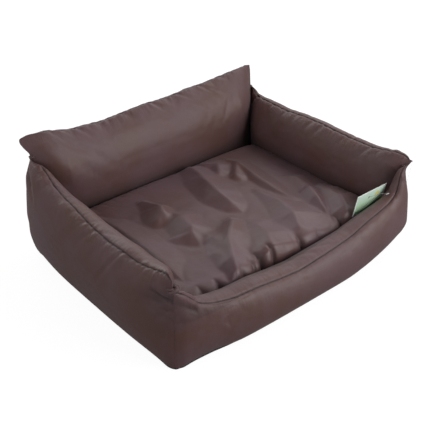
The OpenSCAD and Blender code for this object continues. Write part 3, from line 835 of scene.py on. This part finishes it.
def add_wall(side):
    """One stuffed wall as a closed mesh. Its outer foot line goes into FEET."""
    wall = WALLS[side]
    points, from_seam = wall_grid(wall)
    rows, columns = points.shape[:2]
    u = points[..., 0]
    from_end = np.minimum(u, wall["length"] - u)
    calm = np.clip((from_end - END_GAP) / GATHER_FADE, 0, 1)
    depth = wall["sink"] * np.exp(-np.abs(from_seam) / SINK_WIDTH)
    depth = depth + gathered(side, u, from_seam) * calm
    tucks = tucked(side, u, points[..., 2], from_seam)
    depth = depth + tucks
    depth = depth * np.clip((from_end - END_GAP) / DEPTH_FADE, 0, 1)
    placed = in_place(wall, drawn_in(side, points - depth[..., None] * outward(points)))
    held = np.zeros((rows, columns))
    held[:, OUTER_COLUMNS - 1] = held[0] = held[-1] = 1
    held[:, :3] = held[:, -3:] = 1
    loose = np.minimum(np.exp(-((from_seam / LOOSE_REACH) ** 2)) + LOOSE_LEAST, 1)
    placed = creased(
        side, placed, held, loose, tube_ends,
        slack=0.05, pressure=3.0, stiffness=0.08, cap=0.008, width=7.0,
    )
    FEET[side] = placed[:, 0]
    faces = np.concatenate([grid_faces(rows, columns), tube_ends(rows, columns)])
    cloth = np.stack([u, from_seam], -1)
    shade = wall_shade(points, from_seam, from_end, tucks)
    piece = new_piece(side + "_wall", placed, faces, wall_cloth, {"cloth": cloth, "seams_and_painted_shade": shade})
    smooth = piece.modifiers.new("rounding", "SUBSURF")
    smooth.levels = smooth.render_levels = 1
    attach(piece, "bed")
    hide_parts(side + "_outer_panel", side + "_inner_panel", side + "_filling")


# Each wall's outer foot line, which the underside is sewn to
FEET = {}
for side in WALLS:
    add_wall(side)

# Corner seams: at each corner the ends of two walls are sewn together in a narrow dark ridge, that
# runs on up the free edge of the back wall's ears. It is turned cloth, like the walls.
SEAM_R = 0.0008
SEAM_FOOT = 0.004
SEAM_RINGS = 60
SEAM_SIDES = 10
TUBE_SIDE = [0.31, 0.52, 0.79]
CORNER_TOPS = {"front_left": 0.172, "front_right": 0.196, "back_right": 0.256, "back_left": 0.250}
CORNER_SIDES = {"front_left": (-1, -1), "front_right": (1, -1), "back_right": (1, 1),
                "back_left": (-1, 1)}


def corner_line(corner, z):
    """The seam of a corner at the heights z: END_GAP in from both faces, and drawn in further."""
    inset = END_GAP + eased(z, CORNERS[corner], LINE_EASE)
    way_x, way_y = CORNER_SIDES[corner]
    return np.stack(
        [way_x * (BED_W / 2 - inset), way_y * (BED_D / 2 - inset + leaned(corner, z)), z], -1
    )


def tube(path, radius, sides):
    """Points of a round tube along a path: rings of the given radius square to it. Each starts
    square to one fixed direction too, which no path here runs along, so the tube has no twist."""
    ahead = np.gradient(path, axis=0)
    ahead /= np.linalg.norm(ahead, axis=1, keepdims=True)
    first = np.cross(ahead, TUBE_SIDE)
    first /= np.linalg.norm(first, axis=1, keepdims=True)
    second = np.cross(ahead, first)
    angle = np.linspace(0, 2 * math.pi, sides, endpoint=False)[None, :, None]
    ring = first[:, None] * np.cos(angle) + second[:, None] * np.sin(angle)
    return path[:, None] + ring * np.asarray(radius).reshape(-1, 1, 1)


def tube_faces(rows, sides, start=0, looped=False):
    """Quads round a tube and along it, which is open at its ends unless it is looped."""
    at = start + np.arange(rows * sides).reshape(rows, sides)
    if looped:
        at = np.concatenate([at, at[:1]])
    turned = np.roll(at, -1, axis=1)
    return np.stack([at[:-1], turned[:-1], turned[1:], at[1:]], -1).reshape(-1, 4)


def all_tubes(paths, radii, sides, looped=False):
    """The points and faces of several tubes whose paths have as many points each."""
    rows = len(paths[0])
    points = [tube(path, radius, sides).reshape(-1, 3) for path, radius in zip(paths, radii)]
    faces = [tube_faces(rows, sides, rows * sides * k, looped) for k in range(len(paths))]
    return np.concatenate(points), np.concatenate(faces)


paths = [corner_line(corner, np.linspace(SEAM_FOOT, top, SEAM_RINGS))
         for corner, top in CORNER_TOPS.items()]
end = np.linspace(0, 1, SEAM_RINGS)
radius = SEAM_R * np.sqrt(np.clip(1 - (2 * end - 1) ** 20, 0.0025, 1))
points, faces = all_tubes(paths, [radius] * len(paths), SEAM_SIDES)
seams = new_piece("corner_seam_ridges", points, faces, wall_cloth,
                  {"cloth": points[:, [0, 2]], "seams_and_painted_shade": 0.5 * (points[:, 2] > 0.15)})
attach(seams, "bed")
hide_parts("corner_seams")

# Corner tacks: where two walls' top seams meet, their ends are twisted together and sewn down.
# Each is a small knot of turned cloth.
KNOT_R = 0.0042
KNOT_THICK = 0.0029
KNOT_RINGS = 72
KNOT_SIDES = 12
# Each knot's height and how many times the plain size it has
KNOTS = {"front_left": (0.172, 1.3), "front_right": (0.186, 0.7), "back_right": (0.205, 0.6),
         "back_left": (0.226, 0.7)}
turn = np.linspace(0, 2 * math.pi, KNOT_RINGS, endpoint=False)
reach = KNOT_R * (1 + 0.45 * np.cos(3 * turn))
knot = np.stack(
    [reach * np.cos(2 * turn), reach * np.sin(2 * turn), 0.5 * KNOT_R * np.sin(3 * turn)], -1
)
paths, radii = [], []
for corner, (height, size) in KNOTS.items():
    centre = corner_line(corner, np.array([height]))[0] * [0.992, 0.99, 1]
    paths.append(size * knot * [1.35, 1.0, 1.0] + centre + np.array([0, 0, 0.002]))
    radii.append(size * KNOT_THICK * (1 + 0.18 * np.sin(5 * turn)))
points, faces = all_tubes(paths, radii, KNOT_SIDES, looped=True)
knots = new_piece("corner_knots", points, faces, wall_cloth,
                  {"cloth": points[:, [0, 2]], "seams_and_painted_shade": np.full(len(points), 0.25)})
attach(knots, "bed")
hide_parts("corner_tacks")

# Underside: a thin cloth with rubber dots that keep the bed from sliding, cut to the walls' outer
# feet and sewn to them all round.
DOT_PITCH = 0.012
DOT_SHARE = 0.30
DOT_EDGE = 0.08
DOT_H = 0.0006
UNDERSIDE_T = 0.0011
UNDERSIDE_INSET_SHARE = 0.996
UNDERSIDE_RING_SHARES = np.array([1.0, 0.97, 0.85, 0.6, 0.25])
RUBBER_BLACK = (0.012, 0.011, 0.011, 1.0)
UNDERSIDE_BROWN = (0.035, 0.026, 0.024, 1.0)

underside_cloth, v = new_material("underside_cloth")
place = v.node("ShaderNodeTexCoord", out="Object")
along, across, _ = parts(place)
turns = 2 * math.pi / DOT_PITCH
dots = v.math("SINE", along * turns) * v.math("SINE", across * turns)
dots = v.node("ShaderNodeMapRange", inputs={
    "Value": dots, "From Min": 1 - DOT_SHARE - DOT_EDGE, "From Max": 1 - DOT_SHARE + DOT_EDGE})
felt = noise(place, 420.0, 3.0)
finish_material(v, {
    "Base Color": laid(dots, UNDERSIDE_BROWN, RUBBER_BLACK),
    "Roughness": 0.85 - dots * 0.35,
    "Normal": bumped(dots + felt * 0.3, DOT_H, 0.7),
})

foot_line = np.concatenate([FEET[side] for side in ("front", "right", "back", "left")])
foot_line = foot_line[:, :2] * UNDERSIDE_INSET_SHARE
lower = np.stack([np.outer(UNDERSIDE_RING_SHARES, foot_line[:, k]) for k in (0, 1)], -1)
lower = np.concatenate([lower, np.full(lower.shape[:2] + (1,), 0.0)], -1)
upper = lower[::-1] + [0, 0, UNDERSIDE_T]
rings = np.concatenate([lower[::-1], upper[::-1]])
loop_length = len(foot_line)
faces = tube_faces(len(rings), loop_length)
ends = [np.arange(loop_length)[::-1].tolist(),
        ((len(rings) - 1) * loop_length + np.arange(loop_length)).tolist()]
underside = new_piece("underside_sheet", rings, faces, underside_cloth, extra=ends)
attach(underside, "bed")
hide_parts("base_panel")

# Base pad: lining cloth quilted to a thin sheet of wadding in squares. It covers the floor of the
# bed under the cushion, and its edge is sewn in with the walls' inner feet.
QUILT_PITCH = 0.068
QUILT_DEPTH = 0.0022
QUILT_HALF = 0.004
PAD_CLEAR = 0.0002
PAD_RIM_DROP = 0.003
PAD_RIM_WIDTH = 0.006
PAD_COLUMNS = 150
PAD_ROWS = 116

lining_cloth = cover_cloth("lining_cloth", 0.2, 0.5)
low, high = np.array(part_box("base_lining"))
pad_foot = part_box("base_wadding")[0][2]


def quilt(x, y):
    """How far the pad dips at its stitched lines: a bell about each line of a square net."""
    off = np.minimum(*(np.abs((v / QUILT_PITCH + 0.5) % 1 - 0.5) * QUILT_PITCH for v in (x, y)))
    return QUILT_DEPTH * np.exp(-((off / QUILT_HALF) ** 1.5))


def border_loop(at):
    """The numbers round the border of a grid, from its first row on."""
    return np.concatenate([at[0, :-1], at[:-1, -1], at[-1, :0:-1], at[:0:-1, 0]])


def add_base_pad():
    """A grid over the pad's rectangle, rounded over at its rim, closed below by the same rim."""
    half = (high - low)[:2] / 2
    middle = (high + low)[:2] / 2
    s, t = np.meshgrid(np.linspace(-1, 1, PAD_COLUMNS), np.linspace(-1, 1, PAD_ROWS))
    x = middle[0] + half[0] * s
    y = middle[1] + half[1] * t
    rim = np.minimum(half[0] * (1 - np.abs(s)), half[1] * (1 - np.abs(t)))
    rim_drop = PAD_RIM_DROP * np.exp(-((rim / PAD_RIM_WIDTH) ** 2))
    top = high[2] - PAD_CLEAR - quilt(x, y) - rim_drop
    upper = np.stack([x, y, top], -1)
    lower = np.stack([x, y, np.full(x.shape, pad_foot)], -1)
    count = x.size
    rows, columns = x.shape
    at = np.arange(count).reshape(rows, columns)
    rim_loop = border_loop(at)
    sides = np.stack([rim_loop, rim_loop + count, np.roll(rim_loop, -1) + count,
                      np.roll(rim_loop, -1)], -1)
    top_faces = grid_faces(rows, columns)[:, ::-1]
    faces = np.concatenate([top_faces, top_faces[:, ::-1] + count, sides])
    points = np.concatenate([upper.reshape(-1, 3), lower.reshape(-1, 3)])
    pad = new_piece("base_pad", points, faces, lining_cloth, {"cloth": points[:, :2]})
    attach(pad, "bed")
    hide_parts("base_wadding", "base_lining")


add_base_pad()

# Cushion: a loose cushion of the same cloth that fills the bed's floor, with a boxing strip between
# its top and bottom panels. It is slack, so the top lies in long soft folds and is gathered in
# front. A slot in the back of the strip shows the zip.
CUSHION_HALF_W = 0.274
CUSHION_FRONT = -0.212
CUSHION_BACK = 0.195
CUSHION_FOOT_Z = 0.0082
CUSHION_SEAM_Z = 0.067
CROWN_H = 0.031
SHOULDER_BULGE = 0.008
CROWN_POWER = 12
CROWN_ROUND = 0.5
CUSHION_STEP = 0.0024
FOLD_RISE = 1.5
FOLD_ROUND = 0.0016
FOLD_BLEND = 0.0015
FOLD_SOFT = 1.4
STRIP_BULGE = 0.0025
CORNER_ROUND_SHARE = 0.035
CORNER_ROUND_POWER = 24
EDGE_CALM_SHARE = 0.06
EDGE_RIM_SHARE = 0.012
DIMPLE_DRAW = 0.4
ZIP_Z = 0.038
ZIP_HALF_L = 0.2036
ZIP_HALF_H = 0.006
ZIP_DEPTH = 0.0032
BACK_STRIP = 0.008
STRIP_HEIGHTS = np.array([64.5, 60, 55, 50, 46, 44.4, 43.4, 41, 38, 35, 32.6, 31.6, 29, 24, 18, 12.5,
                          9.5, 8.2]) / 1000
BOTTOM_RING_SHARES = np.array([0.985, 0.95, 0.8, 0.5, 0.2])
# How dark the cloth is painted: painted shade in the dimples and the zip's slot, and a dark line on the
# piping
FULL_DIMPLE = 0.008
DIMPLE_SHADE = 0.85
PIPING_SHADE = 0.9
SLOT_SHADE = 0.8
EDGE_GATHER_PITCH = 0.024
# Half length of the gathered edges, and the seeds of the front's, back's, left's and right's draws
LONG_EDGE_HALF, SHORT_EDGE_HALF = 0.26, 0.20
EDGE_SEEDS = (3, 4, 5, 6)

# Folds of the slack top panel: the points (x, y, height) of each one's crest from the back to the
# front, and how steeply it falls to the left and to the right of it
FOLDS = [
    ([(-0.115, 0.125, 0.005), (-0.110, 0.067, 0.014), (-0.119, 0.048, 0.014), (-0.138, 0.039, 0.009),
      (-0.159, 0.038, 0.0)], 0.31, 0.50),
    ([(-0.098, 0.060, 0.003), (-0.100, 0.011, 0.012), (-0.108, -0.033, 0.013), (-0.117, -0.046, 0.010),
      (-0.141, -0.039, 0.005), (-0.167, -0.023, 0.0)], 0.31, 0.26),
    ([(-0.098, -0.029, 0.0), (-0.091, -0.085, 0.007), (-0.084, -0.125, 0.012), (-0.086, -0.152, 0.004)],
     0.30, 0.13),
    ([(-0.110, -0.085, 0.0), (-0.121, -0.132, 0.006), (-0.121, -0.180, 0.009), (-0.138, -0.204, 0.004)],
     0.36, 0.15),
    ([(0.060, 0.185, 0.004), (0.054, 0.160, 0.009), (0.040, 0.112, 0.013), (0.026, 0.042, 0.013),
      (0.024, -0.005, 0.009), (0.027, -0.042, 0.0)], 0.31, 0.24),
    ([(-0.010, -0.042, 0.001), (-0.024, -0.069, 0.011), (-0.055, -0.099, 0.015), (-0.083, -0.125, 0.015),
      (-0.115, -0.173, 0.013), (-0.139, -0.215, 0.007)], 0.45, 0.36),
    ([(0.010, -0.076, 0.002), (0.006, -0.113, 0.008), (-0.010, -0.159, 0.014), (-0.034, -0.200, 0.016),
      (-0.059, -0.233, 0.012)], 0.31, 0.17),
    ([(0.108, 0.006, 0.002), (0.106, -0.077, 0.009), (0.088, -0.136, 0.013), (0.066, -0.174, 0.010),
      (0.052, -0.192, 0.0)], 0.29, 0.16),
    ([(0.152, 0.161, 0.002), (0.159, 0.120, 0.006), (0.146, 0.047, 0.007), (0.141, -0.024, 0.006),
      (0.146, -0.078, 0.003), (0.157, -0.108, 0.0)], 0.48, 0.20),
    ([(0.203, -0.063, 0.006), (0.190, -0.085, 0.014), (0.178, -0.116, 0.013), (0.162, -0.157, 0.006),
      (0.155, -0.175, 0.0)], 0.58, 0.50),
    ([(0.228, -0.080, 0.005), (0.222, -0.116, 0.011), (0.212, -0.154, 0.015), (0.192, -0.187, 0.014),
      (0.163, -0.216, 0.008)], 0.40, 0.20),
    ([(0.160, 0.142, 0.0), (0.146, 0.115, 0.005), (0.116, 0.080, 0.006), (0.109, 0.068, 0.0)], 0.45, 0.20),
    ([(0.087, 0.189, 0.0), (0.114, 0.147, 0.006), (0.102, 0.126, 0.005), (0.085, 0.101, 0.0)], 0.40, 0.15),
    ([(-0.222, 0.150, 0.0), (-0.218, 0.080, 0.005), (-0.216, 0.0, 0.006), (-0.220, -0.080, 0.006),
      (-0.222, -0.150, 0.0)], 0.24, 0.12),
    ([(0.195, 0.020, 0.0), (0.212, -0.020, 0.006), (0.205, -0.060, 0.005), (0.190, -0.080, 0.0)],
     0.30, 0.20),
]
# Dimples where the front seam is gathered: place along the front, depth, half width and reach
DIMPLES = [(-0.174, 0.022, 0.009, 0.016), (-0.088, 0.008, 0.007, 0.018), (-0.066, 0.024, 0.008, 0.022),
           (-0.036, 0.016, 0.006, 0.020), (0.043, 0.020, 0.008, 0.017), (0.092, 0.006, 0.010, 0.014),
           (0.162, 0.016, 0.007, 0.022), (-0.118, 0.008, 0.008, 0.014), (-0.213, 0.010, 0.011, 0.020)]

half_d = (CUSHION_BACK - CUSHION_FRONT) / 2
mid_y = (CUSHION_BACK + CUSHION_FRONT) / 2


def cushion_plan(a, b):
    """Places of the cushion's outline and inside it, for a and b from -1 to 1: a rectangle whose
    sides and front pull in between its rounded corners."""
    round_off = 1 - CORNER_ROUND_SHARE * np.abs(a * b) ** CORNER_ROUND_POWER
    half_w = CUSHION_HALF_W - INNER_BELLY * (1 - b * b)
    depth = half_d - np.where(b < 0, INNER_BELLY * (1 - a * a), 0)
    return a * half_w * round_off, mid_y + b * depth * round_off


def fold(x, y, crest, left, right):
    """Height of one fold: a roof along its crest. From each point it falls off with the distance
    to the crest, at the left slope on one side and the right one on the other, and the crest is
    rounded over FOLD_ROUND."""
    height = np.zeros(x.shape)
    for (x_a, y_a, h_a), (x_b, y_b, h_b) in zip(crest[:-1], crest[1:]):
        run_x, run_y = x_b - x_a, y_b - y_a
        share = ((x - x_a) * run_x + (y - y_a) * run_y) / (run_x**2 + run_y**2)
        share = np.clip(share, 0, 1)
        off_x, off_y = x - x_a - share * run_x, y - y_a - share * run_y
        off = np.sqrt(off_x**2 + off_y**2 + FOLD_ROUND**2)
        side = (run_x * off_y - run_y * off_x) / (off * math.hypot(run_x, run_y))
        slope = (left + right) / 2 + (right - left) / 2 * side
        height = np.maximum(height, h_a + (h_b - h_a) * share - slope * (off - FOLD_ROUND))
    return height


def edge_gathers(along, inward, half_length, seed):
    """Depth of small gathers along an edge: narrow valleys square to it that fade out inwards."""
    chance = np.random.default_rng(seed)
    depth = np.zeros(np.broadcast(along, inward).shape)
    for place in np.arange(-half_length, half_length, EDGE_GATHER_PITCH):
        place = place + chance.uniform(-0.008, 0.008)
        run, slant = chance.uniform(0.010, 0.026), chance.uniform(-0.5, 0.5)
        aside = np.abs(along - place - slant * inward) / chance.uniform(0.003, 0.005)
        depth += chance.uniform(0.0006, 0.0022) * np.exp(-aside**1.5 - (inward / run) ** 2)
    return depth


def crown(v):
    """1 in the middle and 0 at the edges, v = -1 and 1, with a round shoulder."""
    return np.clip(1 - np.abs(v) ** CROWN_POWER, 0, 1) ** CROWN_ROUND


def cushion_top(rows, columns):
    """The top panel as a grid: its crown, its folds, and the gathers along its seam. Returns its
    points and how dark its dimples are painted, as painted shade."""
    a = np.linspace(-1, 1, columns)[None, :]
    b = np.linspace(-1, 1, rows)[:, None]
    a = np.sin(a * math.pi / 2) * 0.25 + a * 0.75
    b = np.sin(b * math.pi / 2) * 0.25 + b * 0.75
    x, y = cushion_plan(a, b)
    calm = np.clip((1 - np.abs(a)) / EDGE_CALM_SHARE, 0, 1)
    calm = calm * np.clip((1 - np.abs(b)) / EDGE_CALM_SHARE, 0, 1)
    both = soft_least(np.maximum(crown(a), 1e-3), np.maximum(crown(b), 1e-3), 5.0)
    z = CUSHION_SEAM_Z + CROWN_H * both
    lifts = [np.exp(fold(x, y, *one) / FOLD_BLEND) for one in FOLDS]
    lift = FOLD_BLEND * np.log(1 + sum(lift - 1 for lift in lifts))
    lift = smoothing(rows, FOLD_SOFT) @ lift @ smoothing(columns, FOLD_SOFT)
    z = z + FOLD_RISE * lift * calm
    at_rim = np.minimum(1, np.minimum(1 - np.abs(a), 1 - np.abs(b)) / EDGE_RIM_SHARE)
    pulled = 0
    inward = y - CUSHION_FRONT
    for place, deep, spread, run in DIMPLES:
        aside = np.abs((x - place) / (spread * (1 - 0.5 * np.clip(inward / run, 0, 1))))
        pulled = pulled + deep * np.exp(-aside**1.2 - (inward / run) ** 2)
    z = z - at_rim * pulled
    y = y + DIMPLE_DRAW * pulled
    edges = [
        (x, y - CUSHION_FRONT, LONG_EDGE_HALF), (x, CUSHION_BACK - y, LONG_EDGE_HALF),
        (y, x + CUSHION_HALF_W, SHORT_EDGE_HALF), (y, CUSHION_HALF_W - x, SHORT_EDGE_HALF),
    ]
    for edge, seed in zip(edges, EDGE_SEEDS):
        z = z - edge_gathers(*edge, seed) * at_rim
    x = x + np.sign(a) * SHOULDER_BULGE * np.sin(math.pi * crown(a)) * crown(b)
    y = y + np.sign(b) * SHOULDER_BULGE * np.sin(math.pi * crown(b)) * crown(a)
    return np.stack([x, y, z], -1), DIMPLE_SHADE * (1 - np.exp(-pulled / FULL_DIMPLE))


def zip_slot(x, y, z):
    """1 in the slot of the strip over the zip and 0 outside it, with edges a millimetre wide."""
    return (
        np.clip((ZIP_HALF_H + 0.0008 - np.abs(z - ZIP_Z)) / 0.0010, 0, 1)
        * np.clip((ZIP_HALF_L + 0.0012 - np.abs(x)) / 0.0024, 0, 1)
        * (y > CUSHION_BACK - BACK_STRIP)
    )


def add_cushion():
    """The cushion as one closed mesh: the top grid, then loops down the strip from its border,
    and loops over the bottom that shrink to its middle."""
    columns = 2 * int(CUSHION_HALF_W / CUSHION_STEP) + 1
    rows = 2 * int(half_d / CUSHION_STEP) + 1
    top, shade = cushion_top(rows, columns)
    held = np.zeros((rows, columns))
    held[0] = held[-1] = held[:, 0] = held[:, -1] = 1
    top = creased(
        "cushion", top, held, np.ones(held.shape),
        slack=0.03, pressure=0.5, stiffness=0.5, cap=0.004, width=9.0,
    )
    at = np.arange(rows * columns).reshape(rows, columns)
    loop = border_loop(at)
    rim = top.reshape(-1, 3)[loop]
    ahead = np.roll(rim, -1, 0) - np.roll(rim, 1, 0)
    out = np.stack([ahead[:, 1], -ahead[:, 0], np.zeros(len(rim))], -1)
    out /= np.linalg.norm(out, axis=1, keepdims=True)
    share = (CUSHION_SEAM_Z - STRIP_HEIGHTS) / (CUSHION_SEAM_Z - CUSHION_FOOT_Z)
    bulge = STRIP_BULGE * (1 - (2 * share - 1) ** 4)
    strip = np.repeat(rim[None], len(STRIP_HEIGHTS), 0)
    strip[..., 2] = STRIP_HEIGHTS[:, None]
    slot = zip_slot(strip[..., 0], strip[..., 1], strip[..., 2])
    depth = bulge[:, None] * (rim[:, 1] < CUSHION_BACK - BACK_STRIP) - ZIP_DEPTH * slot
    strip = strip + depth[..., None] * out
    shares = BOTTOM_RING_SHARES
    shares = np.stack([shares, shares, np.ones_like(shares)], -1)[:, None]
    bottom = (strip[-1] - [0, mid_y, 0]) * shares + [0, mid_y, 0]
    rings = np.concatenate([strip, bottom])
    start = rows * columns
    first = np.stack([loop, start + np.arange(len(loop)),
                      start + np.roll(np.arange(len(loop)), -1), np.roll(loop, -1)], -1)
    faces = np.concatenate([
        grid_faces(rows, columns)[:, ::-1], first, tube_faces(len(rings), len(loop), start)[:, ::-1],
    ])
    last = start + (len(rings) - 1) * len(loop) + np.arange(len(loop))
    points = np.concatenate([top.reshape(-1, 3), rings.reshape(-1, 3)])
    run = np.cumsum(np.linalg.norm(ahead / 2, axis=1))
    maps = np.concatenate([
        top[..., :2].reshape(-1, 2),
        np.stack([np.broadcast_to(run, strip.shape[:2]), strip[..., 2]], -1).reshape(-1, 2),
        bottom[..., :2].reshape(-1, 2),
    ])
    # The cloth is painted dark along the top piping, painted shade darkens the dimples and the zip's slot,
    # and the lowest ring of the strip is as dark as the slot
    seams_and_painted_shade = np.zeros(len(points))
    seams_and_painted_shade[:shade.size] = shade.ravel()
    seams_and_painted_shade[loop] = PIPING_SHADE
    seams_and_painted_shade[start:start + slot.size] = SLOT_SHADE * slot.ravel()
    seams_and_painted_shade[start + slot.size - len(loop):start + slot.size] = SLOT_SHADE
    piece = new_piece("cushion_cover", points, faces, cushion_cloth,
                      {"cloth": maps, "seams_and_painted_shade": seams_and_painted_shade}, extra=[last[::-1].tolist()])
    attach(piece, "cushion")
    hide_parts("cushion_top_panel", "cushion_boxing_strip", "cushion_bottom_panel",
                "cushion_filling")


add_cushion()

# Zip: the CAD's own tapes, coils, stops, slider and pull, with woven tape, a spiral coil of nylon
# and dull nickel.
TAPE_BROWN = (0.045, 0.030, 0.028, 1.0)
COIL_BROWN = (0.060, 0.042, 0.040, 1.0)
NICKEL = (0.42, 0.40, 0.38, 1.0)
SHADE_AND_WEAR_SHARE = 0.45
COIL_PITCH = 0.0016
TAPE_PITCH = 0.0008
CASTING_PITCH = 0.0021


def ribbed(name, colour, pitch, depth, roughness, metallic=0.0, axis="X"):
    """A material with fine ribs square to an axis of the bed, depth deep, painted shade between its ribs and
    a trace of wear.
    """
    made, v = new_material(name)
    place = v.node("ShaderNodeTexCoord", out="Object")
    wave = v.math("SINE", parts(place)["XYZ".index(axis)] * (2 * math.pi / pitch))
    wear = noise(place, 260.0, 4.0)
    # The colour darkens between the ribs as painted shade, and in random patches as wear
    dark = tuple(SHADE_AND_WEAR_SHARE * c for c in colour[:3]) + (1.0,)
    finish_material(v, {
        "Base Color": laid(wave * 0.3 + wear, dark, colour),
        "Roughness": roughness + (wear - 0.5) * 0.3,
        "Metallic": metallic,
        "Normal": bumped(wave + wear * 0.5, depth, 0.8),
    })
    return made


def dress(node, material):
    """Puts a material on a CAD node that stays as it is."""
    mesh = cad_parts[node].data
    mesh.materials.clear()
    mesh.materials.append(material)


zip_metal = ribbed("zip_metal", NICKEL, CASTING_PITCH, 0.00002, 0.32, 1.0, "Z")
dress("zip_tapes", ribbed("zip_tape", TAPE_BROWN, TAPE_PITCH, 0.00008, 0.75))
dress("zip_coils", ribbed("zip_coil", COIL_BROWN, COIL_PITCH, 0.0004, 0.40))
for node in ("zip_stops", "zip_slider", "zip_pull"):
    dress(node, zip_metal)

# Swing tag: a printed card with two green hills and a yellow disc on a pale mint ground, and the
# plastic pin that ties it to the front wall.
TAG_HOLE = np.array([0.2300, -0.21976, 0.13132])
TAG_LEAN = math.radians(11)
TAG_W = 0.092
TAG_H = 0.055
TAG_HOLE_SHARE = (0.45, 37 / 55)
TAG_BORDER_SHARE = 0.07
DISC_SHARE = (0.72, 0.70)
DISC_R_SQUARED = 0.016
MINT = (0.62, 0.80, 0.68, 1.0)
PALE_GREEN = (0.42, 0.62, 0.40, 1.0)
LEAF_GREEN = (0.10, 0.26, 0.12, 1.0)
SOFT_YELLOW = (0.72, 0.66, 0.22, 1.0)
BORDER_GREEN = (0.78, 0.86, 0.80, 1.0)
PLASTIC = (0.86, 0.87, 0.88, 1.0)

tag_card, v = new_material("tag_card")
place = v.node("ShaderNodeTexCoord", out="Object")
x, y, z = parts(place)
across = (x - TAG_HOLE[0]) / TAG_W + TAG_HOLE_SHARE[0]
rise = (z - TAG_HOLE[2]) * math.cos(TAG_LEAN) - (y - TAG_HOLE[1]) * math.sin(TAG_LEAN)
up = rise / TAG_H + TAG_HOLE_SHARE[1]


def step(value, edge, soft=0.01):
    """0 where value is below edge and 1 above it."""
    return value.node("ShaderNodeMapRange", inputs={
        "Value": value, "From Min": edge - soft, "From Max": edge + soft})


art = laid(step(up, 0.62, 0.25), PALE_GREEN, MINT)
hill = v.math("SINE", across * 7.0 + 0.6) * 0.10 + 0.40
near_hill = v.math("SINE", across * 5.0 + 3.4) * 0.09 + 0.26
art = laid(step(hill - up, 0.0), art, PALE_GREEN)
art = laid(step(near_hill - up, 0.0), art, LEAF_GREEN)
disc = ((across - DISC_SHARE[0]) * (TAG_W / TAG_H)) ** 2 + (up - DISC_SHARE[1]) ** 2
art = laid(step(DISC_R_SQUARED - disc, 0.0, 0.001), art, SOFT_YELLOW)
to_edge = v.math("MAXIMUM", v.math("ABSOLUTE", across - 0.5) * (TAG_W / TAG_H) - TAG_W / TAG_H / 2,
                 v.math("ABSOLUTE", up - 0.5) - 0.5)
art = laid(step(to_edge, -TAG_BORDER_SHARE), art, BORDER_GREEN)
fibres = noise(place, 900.0, 3.0)
finish_material(v, {
    "Base Color": art,
    "Roughness": 0.42 + fibres * 0.15,
    "Normal": bumped(fibres, 0.00004, 0.4),
})
dress("swing_tag", tag_card)
dress("tag_pin", ribbed("tag_pin_plastic", PLASTIC, 0.004, 0.00001, 0.3))

size = {
    "cad": [list(corner) for corner in cad_box],
    "visual": [list(corner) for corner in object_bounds()],
}
